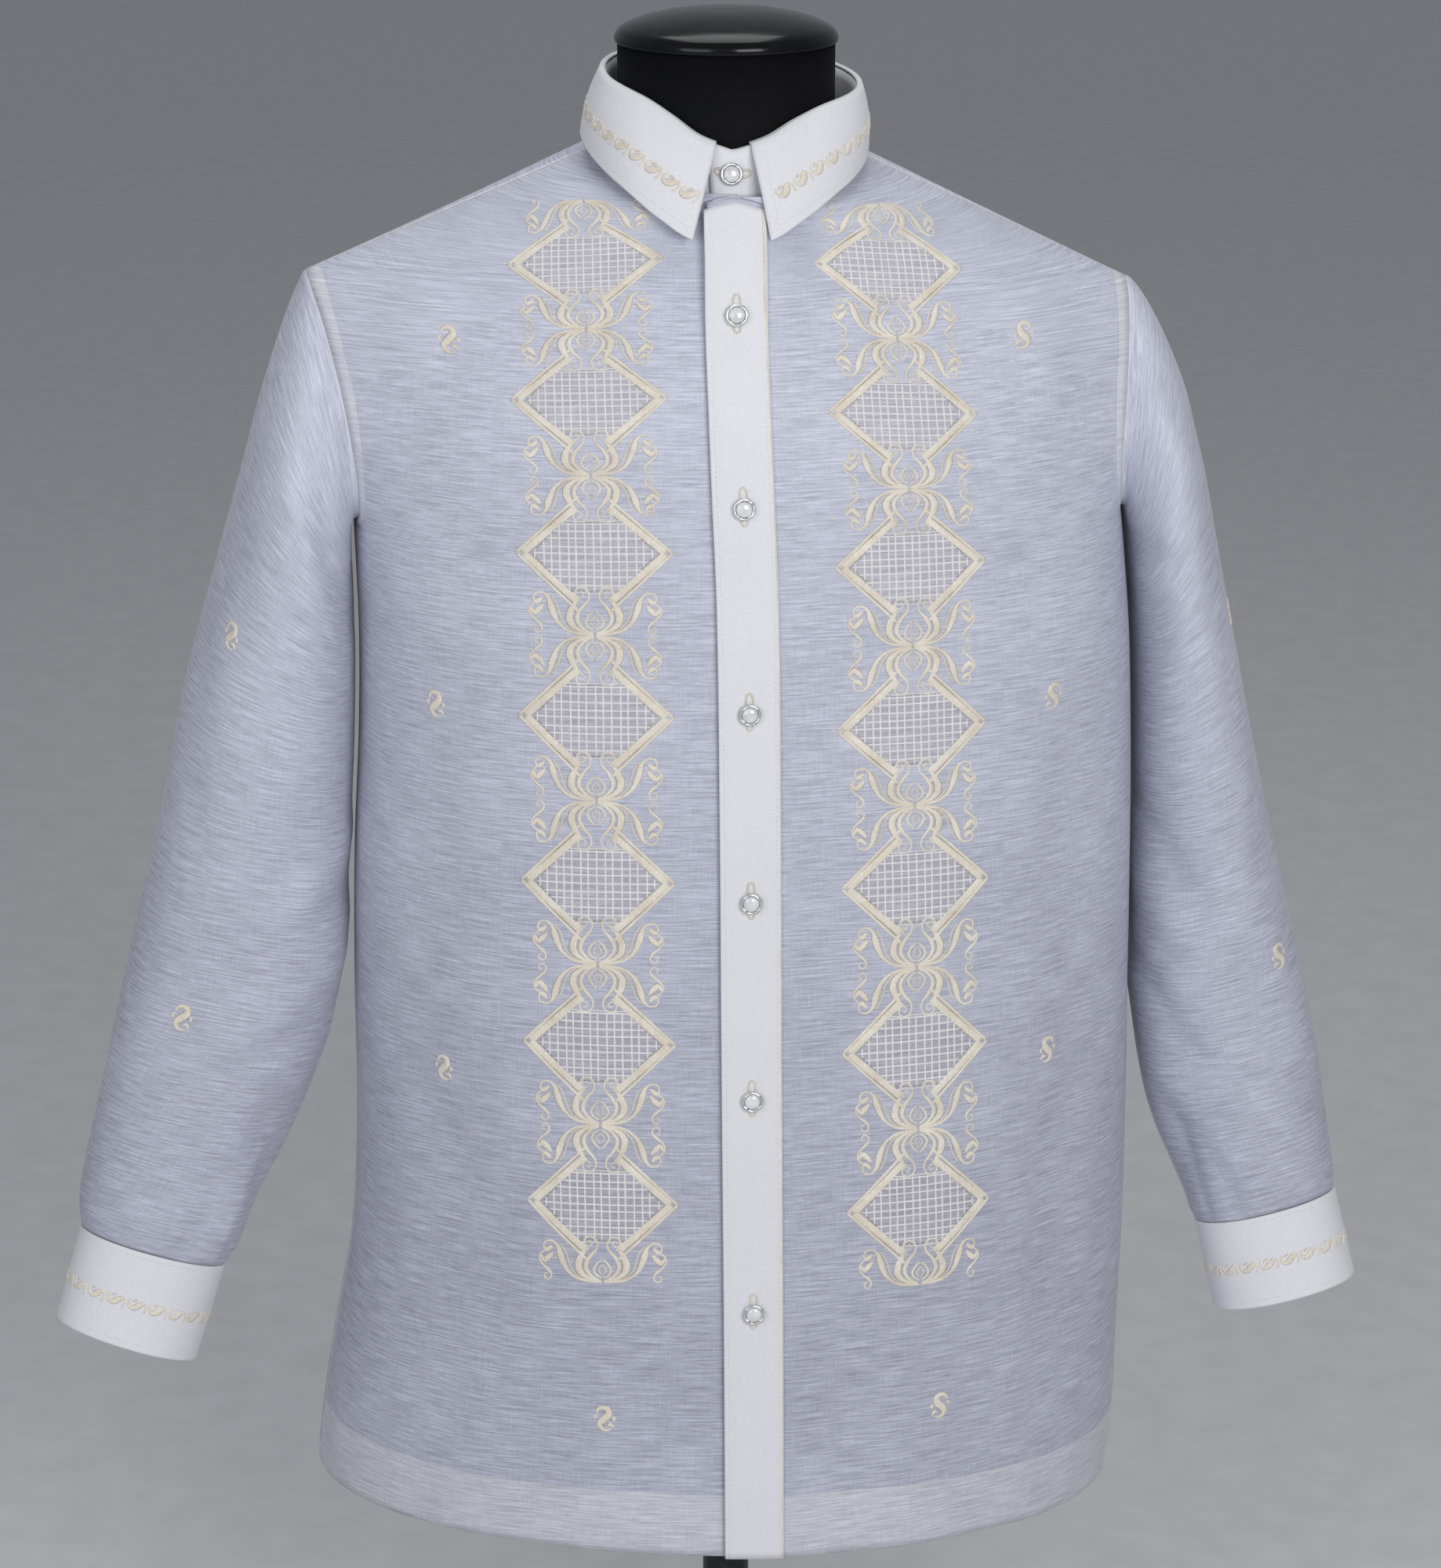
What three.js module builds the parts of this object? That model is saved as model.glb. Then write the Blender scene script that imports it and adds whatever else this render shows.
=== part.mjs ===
// A barong tagalog, the sheer embroidered shirt, worn by a limbless dress form on a low stand.
// Millimetres, +Z up, the shirt faces -Y. Right and left are the wearer's, so right is at -X.
// The origin is on the floor, at the middle of the stand's base.
import * as THREE from 'three';

// Driving dimensions
const HEM_Z = 200;             // hem above the floor
const CLOTH = 1.2;             // wall of the sheer cloth
const BAND = 1.6;              // wall of the collar, placket and cuffs
const SEAM = 0.3;              // space between pieces that are sewn together
const LIE = SEAM + 0.25;       // space under a band that lies on another piece
const UNDERARM = 585;          // height of the armhole's lowest point above the hem
const SIDE_Y = 5;              // where the side and shoulder seams lie
const VENT_TOP = 150;          // the side seams are open below this height
const VENT_SPREAD = 6;         // each vent edge swings this far at the hem
const LAP_RIGHT = 12;          // how far the right front runs past the centre line
const LAP_LEFT = 15;           // how far the left front runs past it
const LAP_RAISE = CLOTH + 1.1; // the left front lies this far out over the right one
const NECK_RAISE = 4.2;        // and this much more at the neck, where the fronts lean back
const PLACKET_HALF = 17;       // half the placket's width
const NECK_HALF = 71;          // neckline, half its width
const NECK_DEEP = 70.5;        // neckline, half its depth
const NECK_Y = -4.5;           // neckline, middle
const NECK_MID = 790.5;        // neckline, mean height above the hem
const NECK_RISE = 12;          // the back of the neckline is higher by twice this
const SEAM_TURN = 98;          // degrees round the neckline from the front to the shoulder seam
const FRONT_NECK = -5 / 12;    // place on the armhole's turn where the front neckline starts
const BACK_NECK = 3 / 12;      // place on the armhole's turn where the back neckline starts
const ROW_EASE = 0.08;         // how far the rows above the armhole are eased into each other
const ROW_SHARES = [1 / 16, 4 / 16, 6 / 16, 4 / 16, 1 / 16];
const SLEEVE_CLEAR = 2.2;      // space between a sleeve and the body's side
const UNDERARM_EASE = 1.6;     // the sleeve stands this much further out just past its seam
const UNDERARM_LIFT = 0.6;     // and its seam this much higher at the underarm
const BUTTON_R = 6.3;
const BASE_R = 140;

// Body below the armholes: half widths at each side, and how square the section is
const SIDES = [
  { h: 0, right: 246, left: 231, round: 2.05 },
  { h: 40, right: 241, left: 235, round: 2.08 },
  { h: 90, right: 233, left: 236.5, round: 2.12 },
  { h: 150, right: 222.5, left: 238.5, round: 2.15 },
  { h: 230, right: 218, left: 238.5, round: 2.2 },
  { h: 310, right: 217.5, left: 237.5, round: 2.25 },
  { h: 390, right: 215.5, left: 236.5, round: 2.3 },
  { h: 460, right: 211.5, left: 235, round: 2.3 },
  { h: 520, right: 210, left: 232, round: 2.3 },
  { h: 585, right: 211.5, left: 226, round: 2.3 },
];

// Centre front line and the depth of the shirt before and behind the middle
const CENTRE = [
  { h: 0, x: 3.5, front: 146, back: 130 },
  { h: 150, x: 3, front: 141.5, back: 124 },
  { h: 300, x: 2, front: 138, back: 120 },
  { h: 450, x: 1.2, front: 135, back: 121 },
  { h: 560, x: 0, front: 132, back: 124 },
  { h: 620, x: -2, front: 126, back: 124.5 },
  { h: 670, x: -3.2, front: 116.5, back: 120 },
  { h: 717, x: -3.8, front: 103, back: 111 },
  { h: 750, x: -3, front: 89, back: 99 },
  { h: 776, x: -2.5, front: 74.5, back: 86 },
  { h: 803, x: -2.5, front: 61.5, back: 66 },
];

// Armhole, from the underarm (-1) up the front to the shoulder tip (0) and down the back (1)
const ARMHOLE = [
  { turn: -1, right: 211.5, left: 226, y: 5, h: 585, wrap: 90 },
  { turn: -0.92, right: 210, left: 224, y: -16, h: 587, wrap: 85 },
  { turn: -0.82, right: 208.5, left: 221.5, y: -33, h: 596, wrap: 79 },
  { turn: -0.65, right: 210, left: 220, y: -43, h: 622, wrap: 72 },
  { turn: -0.45, right: 215.5, left: 221.5, y: -42, h: 657, wrap: 66 },
  { turn: -0.25, right: 223.5, left: 224, y: -31, h: 690, wrap: 60 },
  { turn: -0.1, right: 231, left: 226, y: -14, h: 713, wrap: 57 },
  { turn: 0, right: 234.5, left: 227, y: 5, h: 721, wrap: 55 },
  { turn: 0.1, right: 231, left: 226, y: 24, h: 713, wrap: 57 },
  { turn: 0.25, right: 223.5, left: 224, y: 46, h: 690, wrap: 60 },
  { turn: 0.45, right: 215.5, left: 221.5, y: 61, h: 656, wrap: 66 },
  { turn: 0.65, right: 210, left: 220, y: 63, h: 622, wrap: 72 },
  { turn: 0.82, right: 208.5, left: 221.5, y: 49, h: 596, wrap: 79 },
  { turn: 0.92, right: 210, left: 224, y: 29, h: 587, wrap: 85 },
  { turn: 1, right: 211.5, left: 226, y: 5, h: 585, wrap: 90 },
];

// The shirt hangs a little lower on the wearer's left: drop for each millimetre across
const TILT = [
  { h: 0, body: 0.034 },
  { h: 300, body: 0 },
  { h: 560, body: 0 },
  { h: 700, body: 0.022 },
  { h: 790, body: 0.03 },
  { h: 850, body: 0.07 },
];

// Sleeve rings: outer and inner point seen from the front, depth, and forward pitch in degrees
const SLEEVES = {
  right: [
    { s: 0, outer: 234.5, top: 721, inner: 211.5, low: 585, front: -44, back: 64, pitch: 0 },
    { s: 0.07, outer: 249, top: 697, inner: 205, low: 572, front: -57, back: 74, pitch: 0 },
    { s: 0.14, outer: 261.5, top: 658, inner: 205, low: 556, front: -63, back: 80, pitch: 0 },
    { s: 0.22, outer: 275, top: 610, inner: 208, low: 535, front: -65, back: 83, pitch: 0 },
    { s: 0.31, outer: 291, top: 556, inner: 210, low: 504, front: -64, back: 82, pitch: 0 },
    { s: 0.42, outer: 309.6, top: 491, inner: 212, low: 455, front: -61, back: 78, pitch: 0 },
    { s: 0.54, outer: 325.6, top: 417, inner: 214, low: 392, front: -59, back: 73, pitch: 1 },
    { s: 0.63, outer: 339.7, top: 361, inner: 221, low: 336, front: -59, back: 67, pitch: 2 },
    { s: 0.72, outer: 352.8, top: 307, inner: 231, low: 284, front: -61, back: 58, pitch: 4 },
    { s: 0.81, outer: 365.8, top: 253, inner: 253, low: 228, front: -64, back: 44, pitch: 8 },
    { s: 0.9, outer: 377.6, top: 206, inner: 275, low: 178, front: -69, back: 28, pitch: 11 },
    { s: 0.95, outer: 380.5, top: 188, inner: 287, low: 159, front: -71, back: 14, pitch: 12 },
    { s: 1, outer: 379.5, top: 175, inner: 297.7, low: 147, front: -70, back: 2, pitch: 12 },
  ],
  left: [
    { s: 0, outer: 227, top: 721, inner: 226, low: 585, front: -44, back: 64, pitch: 0 },
    { s: 0.07, outer: 246, top: 697, inner: 222, low: 572, front: -57, back: 74, pitch: 0 },
    { s: 0.14, outer: 260, top: 660, inner: 224, low: 556, front: -63, back: 80, pitch: 0 },
    { s: 0.22, outer: 272, top: 614, inner: 226, low: 535, front: -65, back: 83, pitch: 0 },
    { s: 0.31, outer: 284, top: 556, inner: 228, low: 504, front: -64, back: 82, pitch: 0 },
    { s: 0.42, outer: 298, top: 491, inner: 230, low: 455, front: -61, back: 78, pitch: 0 },
    { s: 0.54, outer: 314, top: 417, inner: 233, low: 392, front: -59, back: 73, pitch: 1 },
    { s: 0.63, outer: 327.4, top: 361, inner: 236, low: 336, front: -59, back: 67, pitch: 2 },
    { s: 0.72, outer: 341, top: 305, inner: 241, low: 284, front: -61, back: 58, pitch: 4 },
    { s: 0.81, outer: 351.5, top: 250, inner: 250, low: 226, front: -64, back: 44, pitch: 8 },
    { s: 0.9, outer: 357.4, top: 204, inner: 264.5, low: 180, front: -69, back: 28, pitch: 11 },
    { s: 0.95, outer: 359.6, top: 186, inner: 273, low: 162, front: -71, back: 14, pitch: 12 },
    { s: 1, outer: 359.7, top: 174, inner: 278.5, low: 153, front: -70, back: 2, pitch: 12 },
  ],
};

// Cuffs: the same ring columns at the upper and the lower edge
const CUFFS = {
  right: [
    { s: 0, outer: 380, top: 174.5, inner: 297.2, low: 146.5, front: -71, back: 3, pitch: 12 },
    { s: 1, outer: 395.5, top: 123, inner: 315.6, low: 93, front: -83, back: -10, pitch: 12 },
  ],
  left: [
    { s: 0, outer: 360.2, top: 173.5, inner: 278, low: 152.5, front: -71, back: 3, pitch: 12 },
    { s: 1, outer: 371.5, top: 123, inner: 288.5, low: 102, front: -83, back: -10, pitch: 12 },
  ],
};

// Collar: heights of the fold and of the leaf's lower edge, by degrees from the centre front
const COLLAR = [
  { angle: 0, fold: 801, edge: 755 },
  { angle: 16, fold: 807, edge: 757 },
  { angle: 30, fold: 815.5, edge: 767 },
  { angle: 50, fold: 824, edge: 781 },
  { angle: 90, fold: 831.5, edge: 798 },
  { angle: 135, fold: 837, edge: 803 },
  { angle: 180, fold: 839, edge: 804 },
];

// Heights of the six placket buttons above the hem
const BUTTON_HEIGHTS = [718, 617, 504, 396, 280, 152];

// Soft vertical folds of the panels: place across, reach up the cloth, half width and depth
const BODY_FOLDS = [
  { face: -1, x: -176, low: 60, high: 560, wide: 26, deep: 3 },
  { face: -1, x: 190, low: 90, high: 540, wide: 24, deep: 3.2 },
  { face: -1, x: 140, low: -60, high: 210, wide: 30, deep: 2.2 },
  { face: -1, x: -120, low: -60, high: 170, wide: 28, deep: 2 },
  { face: 1, x: -150, low: 20, high: 520, wide: 30, deep: 4 },
  { face: 1, x: -52, low: -60, high: 330, wide: 26, deep: 3 },
  { face: 1, x: 66, low: -40, high: 420, wide: 28, deep: 3.4 },
  { face: 1, x: 168, low: 60, high: 560, wide: 28, deep: 3.6 },
];

// Folds of the sleeves: angle round the ring, place down the sleeve, reach, width and depth
const SLEEVE_FOLDS = [
  { side: 1, angle: 62, at: 0.1, reach: 0.13, wide: 20, deep: 5, slant: -40 },
  { side: -1, angle: 118, at: 0.16, reach: 0.14, wide: 22, deep: 4, slant: 60 },
  { side: -1, angle: 88, at: 0.62, reach: 0.24, wide: 22, deep: 3.5, slant: -50 },
  { side: 1, angle: 96, at: 0.66, reach: 0.22, wide: 22, deep: 3.5, slant: -60 },
  { side: -1, angle: 156, at: 0.86, reach: 0.12, wide: 24, deep: 5, slant: 40 },
  { side: 1, angle: 150, at: 0.86, reach: 0.12, wide: 24, deep: 5, slant: 40 },
  { side: -1, angle: 262, at: 0.52, reach: 0.2, wide: 26, deep: 5, slant: 50 },
  { side: 1, angle: 256, at: 0.5, reach: 0.22, wide: 26, deep: 5, slant: 60 },
  { side: -1, angle: 214, at: 0.84, reach: 0.14, wide: 24, deep: 4, slant: -30 },
  { side: 1, angle: 220, at: 0.84, reach: 0.14, wide: 24, deep: 4, slant: -30 },
];

// Dress form: half width, depth before and behind, and how square each level is
const FORM = [
  { h: 60, wide: 160, front: 108, back: 98, round: 2.4 },
  { h: 150, wide: 160, front: 110, back: 100, round: 2.4 },
  { h: 250, wide: 148, front: 104, back: 92, round: 2.3 },
  { h: 330, wide: 145, front: 101, back: 90, round: 2.3 },
  { h: 430, wide: 158, front: 109, back: 98, round: 2.3 },
  { h: 520, wide: 174, front: 116, back: 105, round: 2.3 },
  { h: 590, wide: 184, front: 117, back: 108, round: 2.25 },
  { h: 640, wide: 192, front: 112, back: 108, round: 2.15 },
  { h: 680, wide: 199, front: 103, back: 103, round: 1.95 },
  { h: 705, wide: 204, front: 92, back: 95, round: 1.75 },
  { h: 720, wide: 203, front: 86, back: 88, round: 1.6 },
  { h: 728.6, wide: 200, front: 81, back: 84, round: 1.5 },
  { h: 735.7, wide: 187, front: 77, back: 80, round: 1.5 },
  { h: 745.7, wide: 164, front: 72, back: 75, round: 1.5 },
  { h: 755.6, wide: 140, front: 67, back: 70, round: 1.55 },
  { h: 763.4, wide: 118, front: 64, back: 66, round: 1.65 },
  { h: 770, wide: 95, front: 62, back: 62, round: 1.8 },
  { h: 775, wide: 77, front: 60.5, back: 59, round: 1.95 },
  { h: 781, wide: 65, front: 60, back: 57, round: 2 },
  { h: 792, wide: 61, front: 60, back: 56, round: 2 },
  { h: 851, wide: 61, front: 60, back: 56, round: 2 },
];
const NECK_TOP = 851;

const DEG = Math.PI / 180;
const mix = THREE.MathUtils.lerp;

// Soft step from 0 to 1 between two places, in either order
function smooth(from, to, at) {
  const t = THREE.MathUtils.clamp((at - from) / (to - from), 0, 1);
  return t * t * (3 - 2 * t);
}

// Smooth value of a table's named column at any place along its key column
function column(table, key, name, at) {
  const last = table.length - 1;
  let i = 0;
  while (i < last - 1 && at > table[i + 1][key]) {
    i += 1;
  }
  const slope = (j) => {
    const before = table[Math.max(j - 1, 0)];
    const after = table[Math.min(j + 1, last)];
    return (after[name] - before[name]) / (after[key] - before[key]);
  };
  const step = table[i + 1][key] - table[i][key];
  const t = THREE.MathUtils.clamp((at - table[i][key]) / step, 0, 1);
  const t2 = t * t;
  const t3 = t2 * t;
  return (2 * t3 - 3 * t2 + 1) * table[i][name] + (t3 - 2 * t2 + t) * step * slope(i)
    + (3 * t2 - 2 * t3) * table[i + 1][name] + (t3 - t2) * step * slope(i + 1);
}

const sideName = (side) => (side < 0 ? 'right' : 'left');

// Moves a point to its place above the floor, with the shirt's slight sideways drop
function settle(x, y, h) {
  return new THREE.Vector3(x, y, HEM_Z + h - x * column(TILT, 'h', 'body', h));
}

function neckHeight(degrees) {
  return NECK_MID - NECK_RISE * Math.cos(degrees * DEG);
}

function neckline(side, degrees) {
  const x = side * NECK_HALF * Math.sin(degrees * DEG);
  const y = NECK_Y - NECK_DEEP * Math.cos(degrees * DEG);
  return { x, y, h: neckHeight(degrees) };
}

// Inner edge of a panel: centre line from the hem (v 0) to the neck, then neckline (v 2)
function innerEdge(face, side, v) {
  const lap = side < 0 ? LAP_RIGHT : LAP_LEFT;
  const edgeX = (h) => (face < 0 ? column(CENTRE, 'h', 'x', h) - side * lap : 0);
  const depth = (h) => (face < 0 ? -column(CENTRE, 'h', 'front', h) : column(CENTRE, 'h', 'back', h));
  if (v <= 1) {
    const h = UNDERARM * v;
    return { x: edgeX(h), y: depth(h), h };
  }
  const neckStart = face < 0 ? -FRONT_NECK : BACK_NECK;
  const rise = (v - 1) / (1 - neckStart);
  const edge = side * edgeX(NECK_MID) / NECK_HALF;
  const firstTurn = face < 0 ? Math.asin(edge) / DEG : 180;
  if (rise <= 1) {
    const h = mix(UNDERARM, neckHeight(firstTurn), rise);
    return { x: edgeX(h), y: depth(h), h };
  }
  const round = (v - 2 + neckStart) / neckStart;
  return neckline(side, mix(firstTurn, SEAM_TURN, round));
}

// Outer edge of a panel: side seam up to the underarm (v 1), then armhole to the tip (v 2)
function outerEdge(face, side, v) {
  if (v <= 1) {
    const h = UNDERARM * v;
    const open = face * VENT_SPREAD * Math.max(0, 1 - h / VENT_TOP) ** 1.5;
    return { x: side * column(SIDES, 'h', sideName(side), h), y: SIDE_Y + open, h, wrap: 90 };
  }
  const turn = face * (2 - v);
  return {
    x: side * column(ARMHOLE, 'turn', sideName(side), turn),
    y: column(ARMHOLE, 'turn', 'y', turn),
    h: column(ARMHOLE, 'turn', 'h', turn),
    wrap: column(ARMHOLE, 'turn', 'wrap', turn),
  };
}

// Point of a panel's face where its rows aren't eased, q of the way to the outer edge
function panelRaw(face, side, q, v) {
  const a = innerEdge(face, side, v);
  const b = outerEdge(face, side, v);
  const power = column(SIDES, 'h', 'round', Math.min(UNDERARM * v, UNDERARM));
  const reach = Math.sin(b.wrap * DEG) ** (2 / power);
  const curve = (at) => Math.max(0, 1 - (at * reach) ** power) ** (1 / power);
  const x = mix(a.x, b.x, q);
  const middle = face < 0 ? column(CENTRE, 'h', 'x', a.h) : 0;
  const start = side * Math.max(side * a.x, side * middle);
  const past = Math.abs((x - start) / (b.x - start));
  const bow = (curve(past) - curve(1)) / (1 - curve(1));
  const h = mix(a.h, b.h, past ** mix(mix(1.7, 1.25, smooth(1.2, 1.5, v)), 1, smooth(1.6, 2, v)));
  let y = mix(b.y, a.y, bow) + face * SEAM / 2;
  if (face < 0 && side > 0) {
    const raise = LAP_RAISE + NECK_RAISE * smooth(1.3, 1.55, v);
    y -= raise * (1 - smooth(16, 50, x - middle));
  }
  return settle(x, y, h);
}

// Point of a panel's outer face before its folds: rows are eased into the next ones
function panelBase(face, side, q, v) {
  const inside = smooth(0.14, 0.4, q) * smooth(1, 0.85, q);
  const reach = ROW_EASE * inside * smooth(1, 1.3, v) * smooth(2, 1.8, v);
  const point = new THREE.Vector3();
  ROW_SHARES.forEach((share, i) => {
    point.addScaledVector(panelRaw(face, side, q, v + (i - 2) * reach), share);
  });
  return point;
}

function panelNormal(face, side, q, v) {
  const step = mix(0.03, 0.003, smooth(0, 0.5, q));
  const across = panelBase(face, side, Math.min(q + step, 1), v);
  across.sub(panelBase(face, side, Math.min(q, 1 - step), v));
  const up = panelBase(face, side, q, Math.min(v + 0.02, 2));
  up.sub(panelBase(face, side, q, Math.max(v - 0.02, 0)));
  const normal = across.cross(up).multiplyScalar(side * -face);
  const sideSeam = smooth(1.1, 1, v) * smooth(0.95, 1, q);
  normal.y *= 1 - Math.max(sideSeam, smooth(1.94, 2, v));
  return normal.normalize();
}

// Depth of the soft folds at a place on a panel, and none at its seams
function foldDepth(face, x, z) {
  const h = z - HEM_Z;
  let deep = 0;
  for (const fold of BODY_FOLDS) {
    if (fold.face === face) {
      const across = Math.exp(-(((x - fold.x) / fold.wide) ** 2));
      const along = smooth(fold.low - 60, fold.low + 60, h) * smooth(fold.high, fold.high - 90, h);
      deep += fold.deep * across * along;
    }
  }
  return deep;
}

function panelPoint(face, side, q, v, out) {
  const base = panelBase(face, side, q, v);
  const normal = panelNormal(face, side, q, v);
  const fade = smooth(1, 0.9, q) * smooth(0.02, 0.2, q);
  const move = out - foldDepth(face, base.x, base.z) * fade;
  return base.addScaledVector(normal, move);
}

// Places across a panel, closer together where it turns to the side
function spread(count, face, side, v) {
  const { wrap } = outerEdge(face, side, v);
  const power = column(SIDES, 'h', 'round', Math.min(UNDERARM * v, UNDERARM));
  const reach = Math.sin(wrap * DEG) ** (2 / power);
  return Array.from({ length: count + 1 }, (_, i) => {
    const turn = wrap * DEG * i / count;
    return Math.sin(turn) ** (2 / power) / reach;
  });
}

// Geometry with its faces turned outward
function solid(points, faces) {
  let volume = 0;
  for (let i = 0; i < faces.length; i += 3) {
    const [a, b, c] = [points[faces[i]], points[faces[i + 1]], points[faces[i + 2]]];
    volume += a.dot(new THREE.Vector3().crossVectors(b, c));
  }
  const geometry = new THREE.BufferGeometry().setFromPoints(points);
  geometry.setIndex(volume < 0 ? faces.toReversed() : faces);
  return geometry;
}

// Closed wall over grids of cells { outer, inner }: points at one place are shared, and each
// edge that only one cell has gets a rim
function shell(grids, ring) {
  const outer = [];
  const inner = [];
  const known = new Map();
  const quads = [];
  for (const grid of grids) {
    const index = grid.map((row) => row.map((point) => {
      const key = point.outer.toArray().map((value) => value.toFixed(3)).join();
      if (!known.has(key)) {
        known.set(key, outer.length);
        outer.push(point.outer);
        inner.push(point.inner);
      }
      return known.get(key);
    }));
    for (let r = 0; r < index.length - 1; r += 1) {
      const cols = index[r].length;
      for (let c = 0; c < (ring ? cols : cols - 1); c += 1) {
        const next = (c + 1) % cols;
        quads.push([index[r][c], index[r][next], index[r + 1][next], index[r + 1][c]]);
      }
    }
  }
  const used = new Set(quads.flatMap((quad) => quad.map((a, i) => `${a},${quad[(i + 1) % 4]}`)));
  const faces = [];
  const lift = outer.length;
  for (const quad of quads) {
    const [a, b, c, d] = quad;
    faces.push(a, b, c, a, c, d);
    faces.push(lift + c, lift + b, lift + a, lift + d, lift + c, lift + a);
    quad.forEach((from, i) => {
      const to = quad[(i + 1) % 4];
      if (!used.has(`${to},${from}`)) {
        faces.push(to, from, lift + from, to, lift + from, lift + to);
      }
    });
  }
  return solid([...outer, ...inner], faces);
}

// Closed stack of rings with a flat cap at each end
function stack(rings) {
  const count = rings[0].length;
  const points = rings.flat();
  const faces = [];
  const last = (rings.length - 1) * count;
  for (let first = 0; first < last; first += count) {
    for (let c = 0; c < count; c += 1) {
      const next = (c + 1) % count;
      faces.push(first + c, first + next, first + count + next);
      faces.push(first + c, first + count + next, first + count + c);
    }
  }
  for (let c = 2; c < count; c += 1) {
    faces.push(0, c, c - 1);
    faces.push(last, last + c - 1, last + c);
  }
  return solid(points, faces);
}

// Places up the body, from the hem to the shoulder seam, level with the sleeve's ring points
const RING_SPANS = 24;
const LOWER_ROWS = Array.from({ length: 9 }, (_, i) => i / 9);
const UPPER_ROWS = Array.from({ length: RING_SPANS / 2 + 1 }, (_, i) => 1 + 2 * i / RING_SPANS);
const BODY_ROWS = [...LOWER_ROWS, ...UPPER_ROWS];
const FRONT_SPANS = 13;
const BACK_SPANS = 11;

function panelGrid(face, side, spans) {
  return BODY_ROWS.map((v) => spread(spans, face, side, v).map((q) => ({
    outer: panelPoint(face, side, q, v, 0),
    inner: panelPoint(face, side, q, v, -CLOTH),
  })));
}

// Section of a tube: angle 0 at the outer point, 90 in front, 180 at the inner point
const RING_ROUND = 2.15;

function besideBody(side, h) {
  return column(SIDES, 'h', sideName(side), Math.max(0, Math.min(h, UNDERARM))) + SLEEVE_CLEAR;
}

function ringPoint(table, side, degrees, s, out) {
  const value = (name) => column(table, 's', name, s);
  const low = value('low');
  const inner = Math.max(value('inner'), besideBody(side, low));
  const lateral = new THREE.Vector2(value('outer') - inner, value('top') - low);
  const wide = lateral.length() / 2;
  const deep = (value('back') - value('front')) / 2;
  const cos = Math.cos(degrees * DEG);
  const sin = Math.sin(degrees * DEG);
  const across = Math.sign(cos) * Math.abs(cos) ** (2 / RING_ROUND) * (wide + out);
  const forward = Math.sign(sin) * Math.abs(sin) ** (2 / RING_ROUND) * (deep + out);
  lateral.normalize();
  const pitch = value('pitch') * DEG;
  const x = (value('outer') + inner) / 2 + lateral.x * across;
  const y = (value('back') + value('front')) / 2 - forward * Math.cos(pitch);
  const h = (value('top') + low) / 2 + lateral.y * across + forward * Math.sin(pitch);
  return new THREE.Vector3(side * x, y, HEM_Z + h);
}

// Depth of the sleeve's soft folds at an angle round it and a place s down it
function sleeveFold(side, degrees, s) {
  let deep = 0;
  for (const fold of SLEEVE_FOLDS) {
    if (fold.side === side) {
      const along = (s - fold.at) / fold.reach;
      const turn = degrees - fold.angle - fold.slant * along;
      const across = Math.exp(-((turn / fold.wide) ** 2));
      deep += fold.deep * across * Math.max(0, 1 - along * along) ** 2;
    }
  }
  return deep;
}

function sleevePoint(side, degrees, s, inset) {
  const out = -sleeveFold(side, degrees, s) - inset;
  const hanging = ringPoint(SLEEVES[sideName(side)], side, degrees, s, out);
  const turn = degrees <= 180 ? -degrees / 180 : (360 - degrees) / 180;
  const face = degrees <= 180 ? -1 : 1;
  const v = 2 - Math.abs(turn);
  const seam = panelPoint(face, side, 1, v, -inset);
  const along = panelBase(face, side, 1, Math.min(v + 0.02, 2));
  along.sub(panelBase(face, side, 1, Math.min(v, 1.98)));
  along.cross(panelNormal(face, side, 1, v)).multiplyScalar(-face * side).normalize();
  seam.addScaledVector(along, SEAM + 0.1 + UNDERARM_LIFT * smooth(1.25, 1, v));
  seam.x += side * UNDERARM_EASE * smooth(0, 0.035, s);
  return seam.lerp(hanging, smooth(0, 0.16, s));
}

const SLEEVE_ROWS = [
  0, 0.035, 0.07, 0.11, 0.16, 0.22, 0.29, 0.37, 0.46, 0.55, 0.64, 0.72, 0.8, 0.87, 0.94, 1,
];

function ringAngles() {
  return Array.from({ length: RING_SPANS }, (_, i) => 360 * i / RING_SPANS);
}

function sleeve(side) {
  return shell([SLEEVE_ROWS.map((s) => ringAngles().map((degrees) => ({
    outer: sleevePoint(side, degrees, s, 0),
    inner: sleevePoint(side, degrees, s, CLOTH),
  })))], true);
}

// Cuff: a band round the wrist whose outer end laps over the inner one at the back
const CUFF_LAP_AT = 262;
const CUFF_LAP = 34;
const CUFF_SPANS = 40;

function cuffPoint(side, degrees, s, out) {
  return ringPoint(CUFFS[sideName(side)], side, ((degrees % 360) + 360) % 360, s, out);
}

// The outer end of a band rises over the inner one in the last degrees before it laps
const LAP_RISE = { from: 18, to: 4 };

function lapRaise(travel, full) {
  return (BAND + SEAM) * smooth(full - LAP_RISE.from, full - LAP_RISE.to, travel);
}

function cuff(side) {
  const rows = [0, 0.5, 1];
  return shell([rows.map((s) => Array.from({ length: CUFF_SPANS + 1 }, (_, i) => {
    const travel = (360 + CUFF_LAP) * i / CUFF_SPANS;
    const degrees = CUFF_LAP_AT - CUFF_LAP / 2 + travel;
    const raise = lapRaise(travel, 360);
    return {
      outer: cuffPoint(side, degrees, s, raise),
      inner: cuffPoint(side, degrees, s, raise - BAND),
    };
  }))], false);
}

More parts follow.
